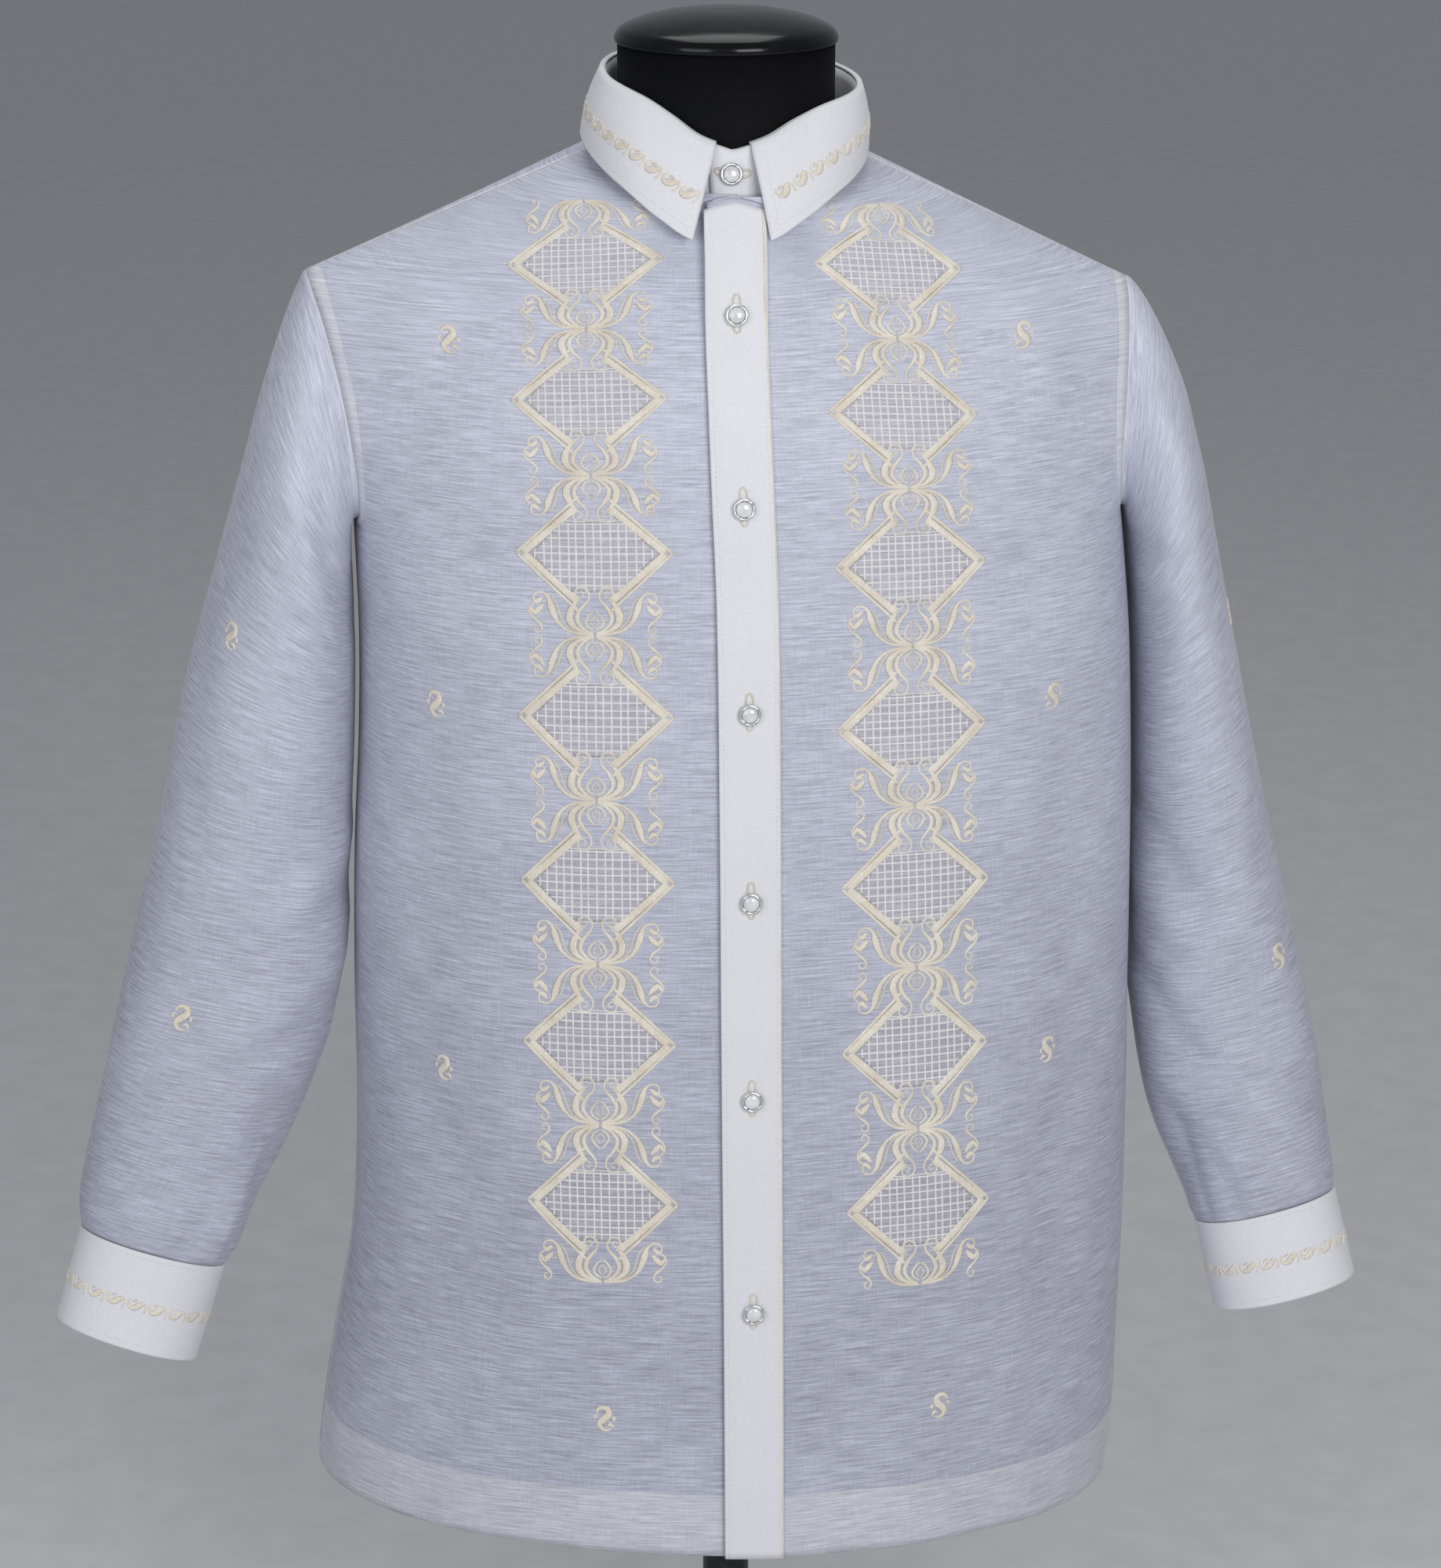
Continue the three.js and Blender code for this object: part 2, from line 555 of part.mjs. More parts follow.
// Collar stand: degrees run from the front to the wearer's left, negative to the right
const STAND_DROP = 3;
const STAND_IN = 2.8;
const STAND_DEEP = 65.5;
const STAND_LEAN = 3.4;
const STAND_FLARE = 2.6;
const STAND_SHIFT = { front: -2, side: 2.5 };
const STAND_UNDER = 9;
const STAND_OVER = 12;
const STAND_SPANS = 44;

function collarHeight(name, degrees) {
  return column(COLLAR, 'angle', name, Math.abs(degrees));
}

// Turns any angle into one between -180 and 180 degrees
function wrapTurn(degrees) {
  return THREE.MathUtils.euclideanModulo(degrees + 180, 360) - 180;
}

// The stand leans in at the front and back, and out at the sides
function standLean(turn) {
  return mix(STAND_LEAN, -STAND_FLARE, smooth(30, 80, turn) * smooth(175, 120, turn));
}

function standPoint(degrees, up, out) {
  const turn = wrapTurn(degrees);
  const h = mix(neckHeight(turn) - STAND_DROP, collarHeight('fold', turn), up);
  const trim = STAND_IN + standLean(Math.abs(turn)) * up - out;
  const shift = mix(STAND_SHIFT.front, STAND_SHIFT.side, smooth(10, 70, Math.abs(turn))) * up;
  const x = (NECK_HALF - trim) * Math.sin(turn * DEG) + shift;
  const y = mix(NECK_Y, NECK_Y + 2, up) - (STAND_DEEP + STAND_IN - trim) * Math.cos(turn * DEG);
  return settle(x, y, h);
}

function collarStand() {
  const full = 360 + STAND_UNDER + STAND_OVER;
  return shell([[0, 0.5, 1].map((up) => Array.from({ length: STAND_SPANS + 1 }, (_, i) => {
    const travel = full * i / STAND_SPANS;
    const raise = lapRaise(travel, 360 - LAP_RISE.to);
    return {
      outer: standPoint(STAND_UNDER - travel, up, raise),
      inner: standPoint(STAND_UNDER - travel, up, raise - BAND),
    };
  }))], false);
}

// Collar leaf: rolls over the stand's top, then falls outward to its lower edge
const LEAF_SPANS = 40;
const LEAF_FALL = [0.08, 0.22, 0.42, 0.64, 0.84, 1];
const LEAF_WIDE = 80;
const LEAF_FRONT = 91.4;
const LEAF_BACK = 77;
const LEAF_BULGE = 1.8;
const LEAF_SHIFT = { front: -5, side: -1.5 };
const LEAF_START = { top: 8, edge: 15.5 };

function leafStart(fall) {
  return mix(LEAF_START.top, LEAF_START.edge, fall);
}

function leafTurn(i, fall) {
  return mix(leafStart(fall), 360 - leafStart(fall), i / LEAF_SPANS);
}

function leafClear(turn) {
  return 0.4 + 2.4 * (1 - smooth(14, 36, Math.abs(turn)));
}

function leafPoint(degrees, fall, out) {
  const turn = wrapTurn(degrees);
  const clear = leafClear(turn) + BAND;
  const top = standPoint(turn, 1, clear + 0.5);
  const deep = Math.abs(turn) < 90 ? LEAF_FRONT : LEAF_BACK;
  const shift = mix(LEAF_SHIFT.front, LEAF_SHIFT.side, smooth(15, 70, Math.abs(turn)));
  const x = LEAF_WIDE * Math.sin(turn * DEG) + shift;
  const y = NECK_Y - deep * Math.cos(turn * DEG);
  const low = settle(x, y, collarHeight('edge', turn));
  const point = top.lerp(low, fall);
  const away = new THREE.Vector3(Math.sin(turn * DEG), -Math.cos(turn * DEG), 0.25).normalize();
  return point.addScaledVector(away, LEAF_BULGE * Math.sin(Math.PI * fall) + out);
}

function collarLeaf() {
  const angles = (fall) => Array.from({ length: LEAF_SPANS + 1 }, (_, i) => leafTurn(i, fall));
  const roll = [
    { out: -1.3, inUp: LIE, outUp: SEAM + BAND },
    { out: 0.6, inUp: LIE, outUp: SEAM + BAND - 0.1 },
  ];
  const rollRows = roll.map(({ out, inUp, outUp }) => angles(0).map((degrees) => {
    const share = out < 0 ? 0 : 1;
    const clear = leafClear(wrapTurn(degrees)) * share;
    const inner = standPoint(degrees, 1, out + clear * 0.9);
    const outer = standPoint(degrees, 1, out + share * (clear + 0.5));
    inner.z += inUp;
    outer.z += outUp;
    return { outer, inner };
  }));
  const fallRows = LEAF_FALL.map((fall) => angles(fall).map((degrees) => ({
    outer: leafPoint(degrees, fall, 0),
    inner: leafPoint(degrees, fall, -BAND),
  })));
  return shell([[...rollRows, ...fallRows]], false);
}

// Placket: a straight band over the left front's edge, made from that panel's points
const PLACKET_ROWS = 24;
const PLACKET_TOP = 1.58;
const PLACKET_SPANS = 4;

function placketPoint(across, v, out) {
  const inner = innerEdge(-1, 1, v).x;
  const outer = outerEdge(-1, 1, v).x;
  const q = (across - PLACKET_HALF + LAP_LEFT) / (outer - inner);
  const point = panelBase(-1, 1, q, v);
  const normal = panelNormal(-1, 1, Math.max(q, 0), Math.min(v, PLACKET_TOP - 0.02));
  return point.addScaledVector(normal, LIE + out);
}

function placket() {
  return shell([Array.from({ length: PLACKET_ROWS + 1 }, (_, r) => {
    const v = PLACKET_TOP * r / PLACKET_ROWS;
    return Array.from({ length: PLACKET_SPANS + 1 }, (_, c) => {
      const across = 2 * PLACKET_HALF * c / PLACKET_SPANS;
      return { outer: placketPoint(across, v, BAND), inner: placketPoint(across, v, 0) };
    });
  })], false);
}

// Button: a pearl dome in a metal rim, turned about its own axis
const BUTTON_PROFILE = [
  [0, 0], [5, 0], [BUTTON_R, 1.1], [BUTTON_R - 0.3, 2.3], [4.9, 2.5], [4.5, 2], [2.6, 3], [0, 3.5],
].map(([r, z]) => new THREE.Vector2(r, z));
const BUTTON_SPANS = 14;

function button(at, facing) {
  const geometry = new THREE.LatheGeometry(BUTTON_PROFILE, BUTTON_SPANS);
  const turn = new THREE.Quaternion().setFromUnitVectors(new THREE.Vector3(0, 1, 0), facing);
  geometry.applyQuaternion(turn);
  geometry.translate(...at.clone().addScaledVector(facing, SEAM + 0.1).toArray());
  return geometry;
}

// Place up the body where the centre front line reaches a height above the hem
function centreRow(h) {
  return h <= UNDERARM ? h / UNDERARM : 1 + (h - UNDERARM) / (neckHeight(0) - UNDERARM) * (1 + FRONT_NECK);
}

function placketButton(h) {
  const v = centreRow(h);
  const at = placketPoint(PLACKET_HALF, v, BAND);
  return button(at, panelNormal(-1, 1, 0.02, v));
}

function standButton() {
  const raise = BAND + SEAM;
  const low = standPoint(-2, 0.25, raise);
  const high = standPoint(-2, 0.75, raise);
  const at = low.clone().add(high).multiplyScalar(0.5);
  const up = high.sub(low).normalize();
  const facing = new THREE.Vector3(1, 0, 0).cross(up).normalize();
  return button(at, facing);
}

function cuffButton(side) {
  const at = cuffPoint(side, CUFF_LAP_AT, 0.5, BAND + SEAM);
  const beside = cuffPoint(side, CUFF_LAP_AT + 3, 0.5, BAND + SEAM).sub(at);
  const below = cuffPoint(side, CUFF_LAP_AT, 0.6, BAND + SEAM).sub(at);
  const facing = beside.cross(below).normalize();
  if (facing.y < 0) {
    facing.negate();
  }
  return button(at, facing);
}

// Dress form
const FORM_SPANS = 36;

function formRing(level) {
  return Array.from({ length: FORM_SPANS }, (_, i) => {
    const turn = 2 * Math.PI * i / FORM_SPANS;
    const c = Math.cos(turn);
    const s = Math.sin(turn);
    const x = level.wide * Math.sign(c) * Math.abs(c) ** (2 / level.round);
    const deep = s < 0 ? level.front : level.back;
    const y = deep * Math.sign(s) * Math.abs(s) ** (2 / level.round);
    const flat = level.h < UNDERARM || level.h > 800;
    return flat ? new THREE.Vector3(x, y, HEM_Z + level.h) : settle(x, y, level.h);
  });
}

function formTorso() {
  return stack(FORM.map(formRing));
}

// Domed cap that closes the form's neck
const CAP_PROFILE = [[0, 0], [61, 0], [62, 1.5], [61.4, 5], [55, 10], [40, 14.5], [22, 17], [0, 18]];

function lathe(profile, spans, z) {
  const geometry = new THREE.LatheGeometry(profile.map(([r, up]) => new THREE.Vector2(r, up)), spans);
  geometry.rotateX(Math.PI / 2);
  geometry.translate(0, 0, z);
  return geometry;
}

// Stand: a round base and a pole up to the form's underside
const BASE_TOP = 20;
const POLE_R = 14;
const POLE_LONG = HEM_Z + FORM[0].h - BASE_TOP;
const BASE_PROFILE = [
  [0, 0], [BASE_R, 0], [BASE_R, 5], [BASE_R - 4, 9], [40, 15], [20, BASE_TOP], [0, BASE_TOP],
];
const POLE_PROFILE = [[0, 0], [POLE_R, 0], [POLE_R, POLE_LONG], [0, POLE_LONG]];

const SHEER = { color: 0xdfe3f2, roughness: 0.7, metalness: 0 };
const OPAQUE = { color: 0xeef0f6, roughness: 0.75, metalness: 0 };
const PEARL = { color: 0xd9dce2, roughness: 0.25, metalness: 0.4 };
const BLACK = { color: 0x0b0b0d, roughness: 0.6, metalness: 0 };
const GLOSS = { color: 0x060608, roughness: 0.15, metalness: 0 };
const STEEL = { color: 0x2a2b2e, roughness: 0.4, metalness: 0.8 };

const garment = new THREE.Group();

function piece(name, geometry, look) {
  const mesh = new THREE.Mesh(geometry, new THREE.MeshStandardMaterial(look));
  mesh.name = name;
  garment.add(mesh);
}

piece('front_right', shell([panelGrid(-1, -1, FRONT_SPANS)], false), SHEER);
piece('front_left', shell([panelGrid(-1, 1, FRONT_SPANS)], false), SHEER);
const backRight = panelGrid(1, -1, BACK_SPANS).map((row) => row.reverse());
piece('back', shell([backRight, panelGrid(1, 1, BACK_SPANS)], false), SHEER);
piece('placket', placket(), OPAQUE);
piece('collar_stand', collarStand(), OPAQUE);
piece('collar_leaf', collarLeaf(), OPAQUE);
for (const side of [-1, 1]) {
  const name = sideName(side);
  piece(`sleeve_${name}`, sleeve(side), SHEER);
  piece(`cuff_${name}`, cuff(side), OPAQUE);
  piece(`cuff_button_${name}`, cuffButton(side), PEARL);
}
piece('button_1', standButton(), PEARL);
BUTTON_HEIGHTS.forEach((h, i) => piece(`button_${i + 2}`, placketButton(h), PEARL));
piece('form_torso', formTorso(), BLACK);
piece('form_cap', lathe(CAP_PROFILE, 36, HEM_Z + NECK_TOP), GLOSS);
piece('form_pole', lathe(POLE_PROFILE, 20, BASE_TOP), STEEL);
piece('form_base', lathe(BASE_PROFILE, 36, 0), BLACK);

export default garment;
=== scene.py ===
"""Looks of the barong tagalog on its dress form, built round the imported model.

Lengths are in millimetres, apart from the camera, the lights, the floor and the cut sizes.
Heights called h are above the hem. The side is -1 for the wearer's right and 1 for the left,
and the face is -1 for the front and 1 for the back.
"""
import math

import bpy
import numpy as np
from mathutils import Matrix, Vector
from mathutils.bvhtree import BVHTree


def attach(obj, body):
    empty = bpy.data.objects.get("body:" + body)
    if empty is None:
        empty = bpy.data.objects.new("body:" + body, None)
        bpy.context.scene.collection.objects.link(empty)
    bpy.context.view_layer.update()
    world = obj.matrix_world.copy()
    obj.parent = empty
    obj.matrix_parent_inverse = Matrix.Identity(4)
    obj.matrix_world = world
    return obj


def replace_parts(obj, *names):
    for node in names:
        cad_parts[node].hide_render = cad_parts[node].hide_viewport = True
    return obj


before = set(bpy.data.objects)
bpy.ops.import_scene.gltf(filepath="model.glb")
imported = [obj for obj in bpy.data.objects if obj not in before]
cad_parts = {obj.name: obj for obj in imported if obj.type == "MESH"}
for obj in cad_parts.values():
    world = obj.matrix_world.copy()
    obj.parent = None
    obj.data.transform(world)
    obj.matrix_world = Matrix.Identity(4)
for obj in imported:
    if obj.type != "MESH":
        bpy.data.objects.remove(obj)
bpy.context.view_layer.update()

MM = 0.001
DEG = math.pi / 180

# Driving dimensions in millimetres, the same as the source's
HEM_Z = 200            # hem above the floor
CLOTH = 0.5            # wall of the sheer cloth
BAND = 1.6             # wall of the collar, placket and cuffs
SEAM = 0.3             # space between pieces that are sewn together
LIE = 0.55             # space under a band that lies on another piece
UNDERARM = 585         # height of the armhole's lowest point above the hem
SIDE_Y = 5             # where the side and shoulder seams lie
VENT_TOP = 150         # the side seams are open below this height
VENT_SPREAD = 6        # each vent edge swings this far at the hem
LAP_RIGHT = 12         # how far the right front runs past the centre line
LAP_LEFT = 15          # how far the left front runs past it
LAP_RAISE = 2.3        # the left front lies this far out over the right one
NECK_RAISE = 4.2       # and this much more at the neck, where the fronts lean back
PLACKET_HALF = 17      # half the placket's width
NECK_HALF = 71         # neckline, half its width
NECK_DEEP = 70.5       # neckline, half its depth
NECK_Y = -4.5          # neckline, middle
NECK_MID = 790.5       # neckline, mean height above the hem
NECK_RISE = 12         # the back of the neckline is higher by twice this
SEAM_TURN = 98         # degrees round the neckline from the front to the shoulder seam
FRONT_NECK = 5 / 12    # share of the upper rows that start on the front neckline
BACK_NECK = 3 / 12     # share of them that start on the back neckline
ROW_EASE = 0.08        # how far the rows above the armhole are eased into each other
ROW_SHARES = (1 / 16, 4 / 16, 6 / 16, 4 / 16, 1 / 16)
SLEEVE_CLEAR = 2.2     # space between a sleeve and the body's side
BUTTON_R = 6.3         # the buttons' rims
BASE_R = 140           # the stand's base
BASE_TOP = 20          # top of the base above the floor
POLE_TOP = 240         # the pole's upper end above the base
FORM_LOW = 60          # lower end of the form above the hem
FORM_NECK = 792        # the form's neck is straight above this
NECK_TOP = 851         # and ends here, under the cap

# Details that only the looks have
HEM_BAND = 38          # height of the doubled hem
ALLOWANCE = 9.5        # width of the doubled strips beside the seams
THREAD = 0.45          # how proud the satin stitches stand


def table(names, *rows):
    """Short table with named columns; the first one is its key."""
    return dict(zip(names.split(), np.array(rows, float).T))


def rows_of(tab):
    """Each row of a table with its columns' names."""
    return [dict(zip(tab, row)) for row in zip(*tab.values())]


# Column names that several tables share
RING_NAMES = (
    "s front back pitch right_outer right_top right_inner right_low "
    "left_outer left_top left_inner left_low"
)
BODY_CREASE = "x0 h0 x1 h1 wide deep"
SLEEVE_CREASE = "a0 s0 a1 s1 wide deep"

# The body's half widths at its side seams, and the power of its round section
SIDES = table(
    "h right left round",
    (0, 246, 231, 2.05), (40, 241, 235, 2.08), (90, 233, 236.5, 2.12), (150, 222.5, 238.5, 2.15),
    (230, 218, 238.5, 2.2), (310, 217.5, 237.5, 2.25), (390, 215.5, 236.5, 2.3),
    (460, 211.5, 235, 2.3), (520, 210, 232, 2.3), (585, 211.5, 226, 2.3),
)
# The centre lines: sideways place, and how far the front and the back lie from the middle
CENTRE = table(
    "h x front back",
    (0, 3.5, 146, 130), (150, 3, 141.5, 124), (300, 2, 138, 120), (450, 1.2, 135, 121),
    (560, 0, 132, 124), (620, -2, 126, 124.5), (670, -3.2, 116.5, 120), (717, -3.8, 103, 111),
    (750, -3, 89, 99), (776, -2.5, 74.5, 86), (803, -2.5, 61.5, 66),
)
# The armhole from the underarm (-1) up the front to the shoulder (0) and down the back (1);
# wrap is the angle at which the panel's rows arrive there
ARMHOLE = table(
    "turn right left y h wrap",
    (-1, 211.5, 226, 5, 585, 90), (-0.92, 210, 224, -16, 587, 85),
    (-0.82, 208.5, 221.5, -33, 596, 79), (-0.65, 210, 220, -43, 622, 72),
    (-0.45, 215.5, 221.5, -42, 657, 66), (-0.25, 223.5, 224, -31, 690, 60),
    (-0.1, 231, 226, -14, 713, 57), (0, 234.5, 227, 5, 721, 55), (0.1, 231, 226, 24, 713, 57),
    (0.25, 223.5, 224, 46, 690, 60), (0.45, 215.5, 221.5, 61, 656, 66),
    (0.65, 210, 220, 63, 622, 72), (0.82, 208.5, 221.5, 49, 596, 79),
    (0.92, 210, 224, 29, 587, 85), (1, 211.5, 226, 5, 585, 90),
)
# Drop for each millimetre toward the wearer's left
TILT = table(
    "h body", (0, 0.034), (300, 0), (560, 0), (700, 0.022), (790, 0.03), (850, 0.07),
)
# Rings of the sleeves from the armhole (0) to the cuff (1): the reach to the front and back,
# how far they pitch forward, and the outer and the inner point of the right and left sleeve
SLEEVES = table(
    RING_NAMES,
    (0, -44, 64, 0, 234.5, 721, 211.5, 585, 227, 721, 226, 585),
    (0.07, -57, 74, 0, 249, 697, 205, 572, 246, 697, 222, 572),
    (0.14, -63, 80, 0, 261.5, 658, 205, 556, 260, 660, 224, 556),
    (0.22, -65, 83, 0, 275, 610, 208, 535, 272, 614, 226, 535),
    (0.31, -64, 82, 0, 291, 556, 210, 504, 284, 556, 228, 504),
    (0.42, -61, 78, 0, 309.6, 491, 212, 455, 298, 491, 230, 455),
    (0.54, -59, 73, 1, 325.6, 417, 214, 392, 314, 417, 233, 392),
    (0.63, -59, 67, 2, 339.7, 361, 221, 336, 327.4, 361, 236, 336),
    (0.72, -61, 58, 4, 352.8, 307, 231, 284, 341, 305, 241, 284),
    (0.81, -64, 44, 8, 365.8, 253, 253, 228, 351.5, 250, 250, 226),
    (0.9, -69, 28, 11, 377.6, 206, 275, 178, 357.4, 204, 264.5, 180),
    (0.95, -71, 14, 12, 380.5, 188, 287, 159, 359.6, 186, 273, 162),
    (1, -70, 2, 12, 379.5, 175, 297.7, 147, 359.7, 174, 278.5, 153),
)
CUFFS = table(
    RING_NAMES,
    (0, -71, 3, 12, 380, 174.5, 297.2, 146.5, 360.2, 173.5, 278, 152.5),
    (1, -83, -10, 12, 395.5, 123, 315.6, 93, 371.5, 123, 288.5, 102),
)
# Heights of the leaf's fold and edge, by degrees from the front
COLLAR = table(
    "angle fold edge",
    (0, 801, 755), (16, 807, 757), (30, 815.5, 767), (50, 824, 781), (90, 831.5, 798),
    (135, 837, 803), (180, 839, 804),
)
# Buttons 2 to 7
BUTTON_HEIGHTS = [718, 617, 504, 396, 280, 152]
# Sections of the dress form, and the power of their rounding
FORM = table(
    "h wide front back round",
    (60, 160, 108, 98, 2.4), (150, 160, 110, 100, 2.4), (250, 148, 104, 92, 2.3),
    (330, 145, 101, 90, 2.3), (430, 158, 109, 98, 2.3), (520, 174, 116, 105, 2.3),
    (590, 184, 117, 108, 2.25), (640, 192, 112, 108, 2.15), (680, 199, 103, 103, 1.95),
    (705, 204, 92, 95, 1.75), (720, 203, 86, 88, 1.6), (728.6, 200, 81, 84, 1.5),
    (735.7, 187, 77, 80, 1.5), (745.7, 164, 72, 75, 1.5), (755.6, 140, 67, 70, 1.55),
    (763.4, 118, 64, 66, 1.65), (770, 95, 62, 62, 1.8), (775, 77, 60.5, 59, 1.95),
    (781, 65, 60, 57, 2), (792, 61, 60, 56, 2), (851, 61, 60, 56, 2),
)

# Soft vertical folds that the solids have: place, lower and upper end, half width and depth
BODY_FOLDS = table(
    "face x low high wide deep",
    (-1, -176, 60, 560, 26, 3), (-1, 190, 90, 540, 24, 3.2), (-1, 140, -60, 210, 30, 2.2),
    (-1, -120, -60, 170, 28, 2), (1, -150, 20, 520, 30, 4), (1, -52, -60, 330, 26, 3),
    (1, 66, -40, 420, 28, 3.4), (1, 168, 60, 560, 28, 3.6),
)
# The same on the sleeves, by angle and place down them; reach is down the sleeve and slant is
# how many degrees a fold turns over its reach
SLEEVE_FOLDS = table(
    "side angle at reach wide deep slant",
    (1, 62, 0.1, 0.13, 20, 5, -40), (-1, 118, 0.16, 0.14, 22, 4, 60),
    (-1, 88, 0.62, 0.24, 22, 3.5, -50), (1, 96, 0.66, 0.22, 22, 3.5, -60),
    (-1, 156, 0.86, 0.12, 24, 5, 40), (1, 150, 0.86, 0.12, 24, 5, 40),
    (-1, 262, 0.52, 0.2, 26, 5, 50), (1, 256, 0.5, 0.22, 26, 5, 60),
    (-1, 214, 0.84, 0.14, 24, 4, -30), (1, 220, 0.84, 0.14, 24, 4, -30),
)

# Smaller creases of the fronts and the back, from one end to the other; a ridge is negative
CREASES = {
    -1: table(
        BODY_CREASE,
        (-205, 640, -130, 676, 9, 1.6), (-203, 612, -118, 640, 8, -1.3),
        (-206, 588, -140, 600, 9, 1.2), (-212, 540, -150, 520, 12, 1.2),
        (206, 655, 128, 690, 9, -1.5), (207, 628, 118, 650, 8, 1.7),
        (212, 596, 122, 590, 9, -1.4), (216, 566, 128, 548, 10, 1.8),
        (222, 520, 150, 492, 12, -1.1), (226, 470, 160, 436, 12, 1.3),
        (-140, 742, -176, 640, 14, 1.8), (146, 738, 176, 650, 14, -1.6),
        (-196, 330, -150, 90, 22, 2.2), (-120, 220, -150, 20, 20, -1.8),
        (206, 300, 178, 60, 20, 2.0), (128, 190, 150, 10, 18, -1.5),
        (-60, 140, -66, -10, 16, 1.0), (72, 150, 64, -10, 16, 1.1),
    ),
    1: table(
        BODY_CREASE,
        (-202, 640, -120, 690, 10, 1.8), (-205, 606, -110, 640, 10, -1.5),
        (206, 640, 124, 688, 10, 1.8), (208, 600, 116, 632, 10, -1.5),
        (-190, 540, -90, 470, 14, 1.5), (196, 520, 100, 450, 14, 1.6),
        (-96, 420, -104, 30, 18, 2.2), (10, 360, 4, 10, 20, 2.0),
        (112, 440, 118, 40, 18, -2.0), (-30, 700, -34, 420, 20, 1.2), (36, 690, 40, 430, 20, 1.3),
    ),
}

# Creases of each sleeve by angle and place down it
SLEEVE_DEGREE = 0.0022  # one degree round a sleeve, as a share of its length
SLEEVE_CREASES = {
    "right": table(
        SLEEVE_CREASE,
        (176, 0.06, 96, 0.22, 0.022, 1.8), (170, 0.1, 84, 0.28, 0.02, -1.4),
        (160, 0.16, 70, 0.3, 0.022, 1.4), (188, 0.52, 96, 0.6, 0.02, -1.5),
        (186, 0.58, 70, 0.66, 0.022, 2.2), (182, 0.64, 84, 0.72, 0.02, -1.8),
        (176, 0.7, 60, 0.8, 0.022, 2.0), (30, 0.3, 60, 0.62, 0.03, 1.2),
        (120, 0.84, 112, 1.04, 0.018, 1.6), (146, 0.8, 138, 1.04, 0.016, -1.5),
        (200, 0.1, 280, 0.26, 0.024, 1.8), (196, 0.56, 290, 0.64, 0.024, 2.2),
        (192, 0.66, 280, 0.74, 0.022, -1.8), (250, 0.86, 256, 1.04, 0.016, 2.4),
        (284, 0.86, 290, 1.04, 0.016, 2.0),
    ),
    "left": table(
        SLEEVE_CREASE,
        (178, 0.05, 92, 0.2, 0.022, -1.5), (172, 0.1, 80, 0.26, 0.02, 2.0),
        (164, 0.18, 62, 0.34, 0.022, -1.3), (186, 0.5, 110, 0.58, 0.02, 1.6),
        (186, 0.58, 80, 0.7, 0.022, -1.7), (184, 0.66, 96, 0.8, 0.022, 2.4),
        (170, 0.76, 100, 0.9, 0.02, -1.6), (40, 0.34, 66, 0.6, 0.03, -1.0),
        (128, 0.84, 116, 1.04, 0.018, 1.8), (152, 0.82, 146, 1.04, 0.016, 1.4),
        (200, 0.1, 276, 0.24, 0.024, 1.7), (198, 0.54, 286, 0.64, 0.024, 2.2),
        (190, 0.68, 276, 0.76, 0.022, -1.6), (252, 0.86, 250, 1.04, 0.016, 2.4),
        (286, 0.86, 282, 1.04, 0.016, 2.0),
    ),
}


def mix(a, b, t):
    return a + (b - a) * t


def smooth(start, end, at):
    """Soft step from 0 to 1 between two places, in either order."""
    t = np.clip((at - start) / (end - start), 0, 1)
    return t * t * (3 - 2 * t)


def column(tab, name, at):
    """Smooth value of a table's named column at any places along its key."""
    key = next(iter(tab.values()))
    value = tab[name]
    at = np.asarray(at, float)
    i = np.clip(np.searchsorted(key, at) - 1, 0, len(key) - 2)
    rise = np.append(value[1:], value[-1]) - np.insert(value[:-1], 0, value[0])
    slope = rise / (np.append(key[1:], key[-1]) - np.insert(key[:-1], 0, key[0]))
    step = key[i + 1] - key[i]
    t = np.clip((at - key[i]) / step, 0, 1)
    ease = t * t * (3 - 2 * t)
    start = t * (1 - t) ** 2 * step * slope[i]
    end = t * t * (t - 1) * step * slope[i + 1]
    return mix(value[i], value[i + 1], ease) + start + end


def side_name(side):
    return "right" if side < 0 else "left"


def settle(x, y, h):
    """Points above the floor, with the shirt's slight sideways drop."""
    x, y, h = np.broadcast_arrays(x, y, h)
    return np.stack([x, y, HEM_Z + h - x * column(TILT, "body", h)], -1)


def unit(vectors):
    return vectors / np.maximum(np.linalg.norm(vectors, axis=-1, keepdims=True), 1e-9)


# Lines, grids and faces
def steps_of(points, axis=0):
    """Distances between neighbouring points."""
    return np.linalg.norm(np.diff(points, axis=axis), axis=-1)


def run_of(line):
    """Distance of each point of a line from its start, along the line."""
    return np.concatenate([[0], np.cumsum(steps_of(line))])


def along_line(at, keys, line):
    """Points of a line at places between its keys."""
    return np.stack([np.interp(at, keys, line[:, k]) for k in range(3)], -1)


def row_runs(points):
    """Distance of each point of a grid from its row's start, along the row."""
    return np.concatenate([np.zeros((len(points), 1)), np.cumsum(steps_of(points, 1), 1)], 1)


def grid_index(rows, cols, ring=False):
    """Point numbers of a grid; ring repeats the first column after the last."""
    index = np.arange(rows * cols).reshape(rows, cols)
    return np.concatenate([index, index[:, :1]], 1) if ring else index


def quads_of(index):
    """Faces between the rows and columns of a grid of point numbers."""
    return np.stack([index[:-1, :-1], index[:-1, 1:], index[1:, 1:], index[1:, :-1]], -1)


def tube_faces(rows, cols):
    """Faces of a closed tube of rings, with one face at each end."""
    index = grid_index(rows, cols, True)
    quads = quads_of(index).reshape(-1, 4).tolist()
    return quads + [index[0, -2::-1].tolist(), index[-1, :-1].tolist()]


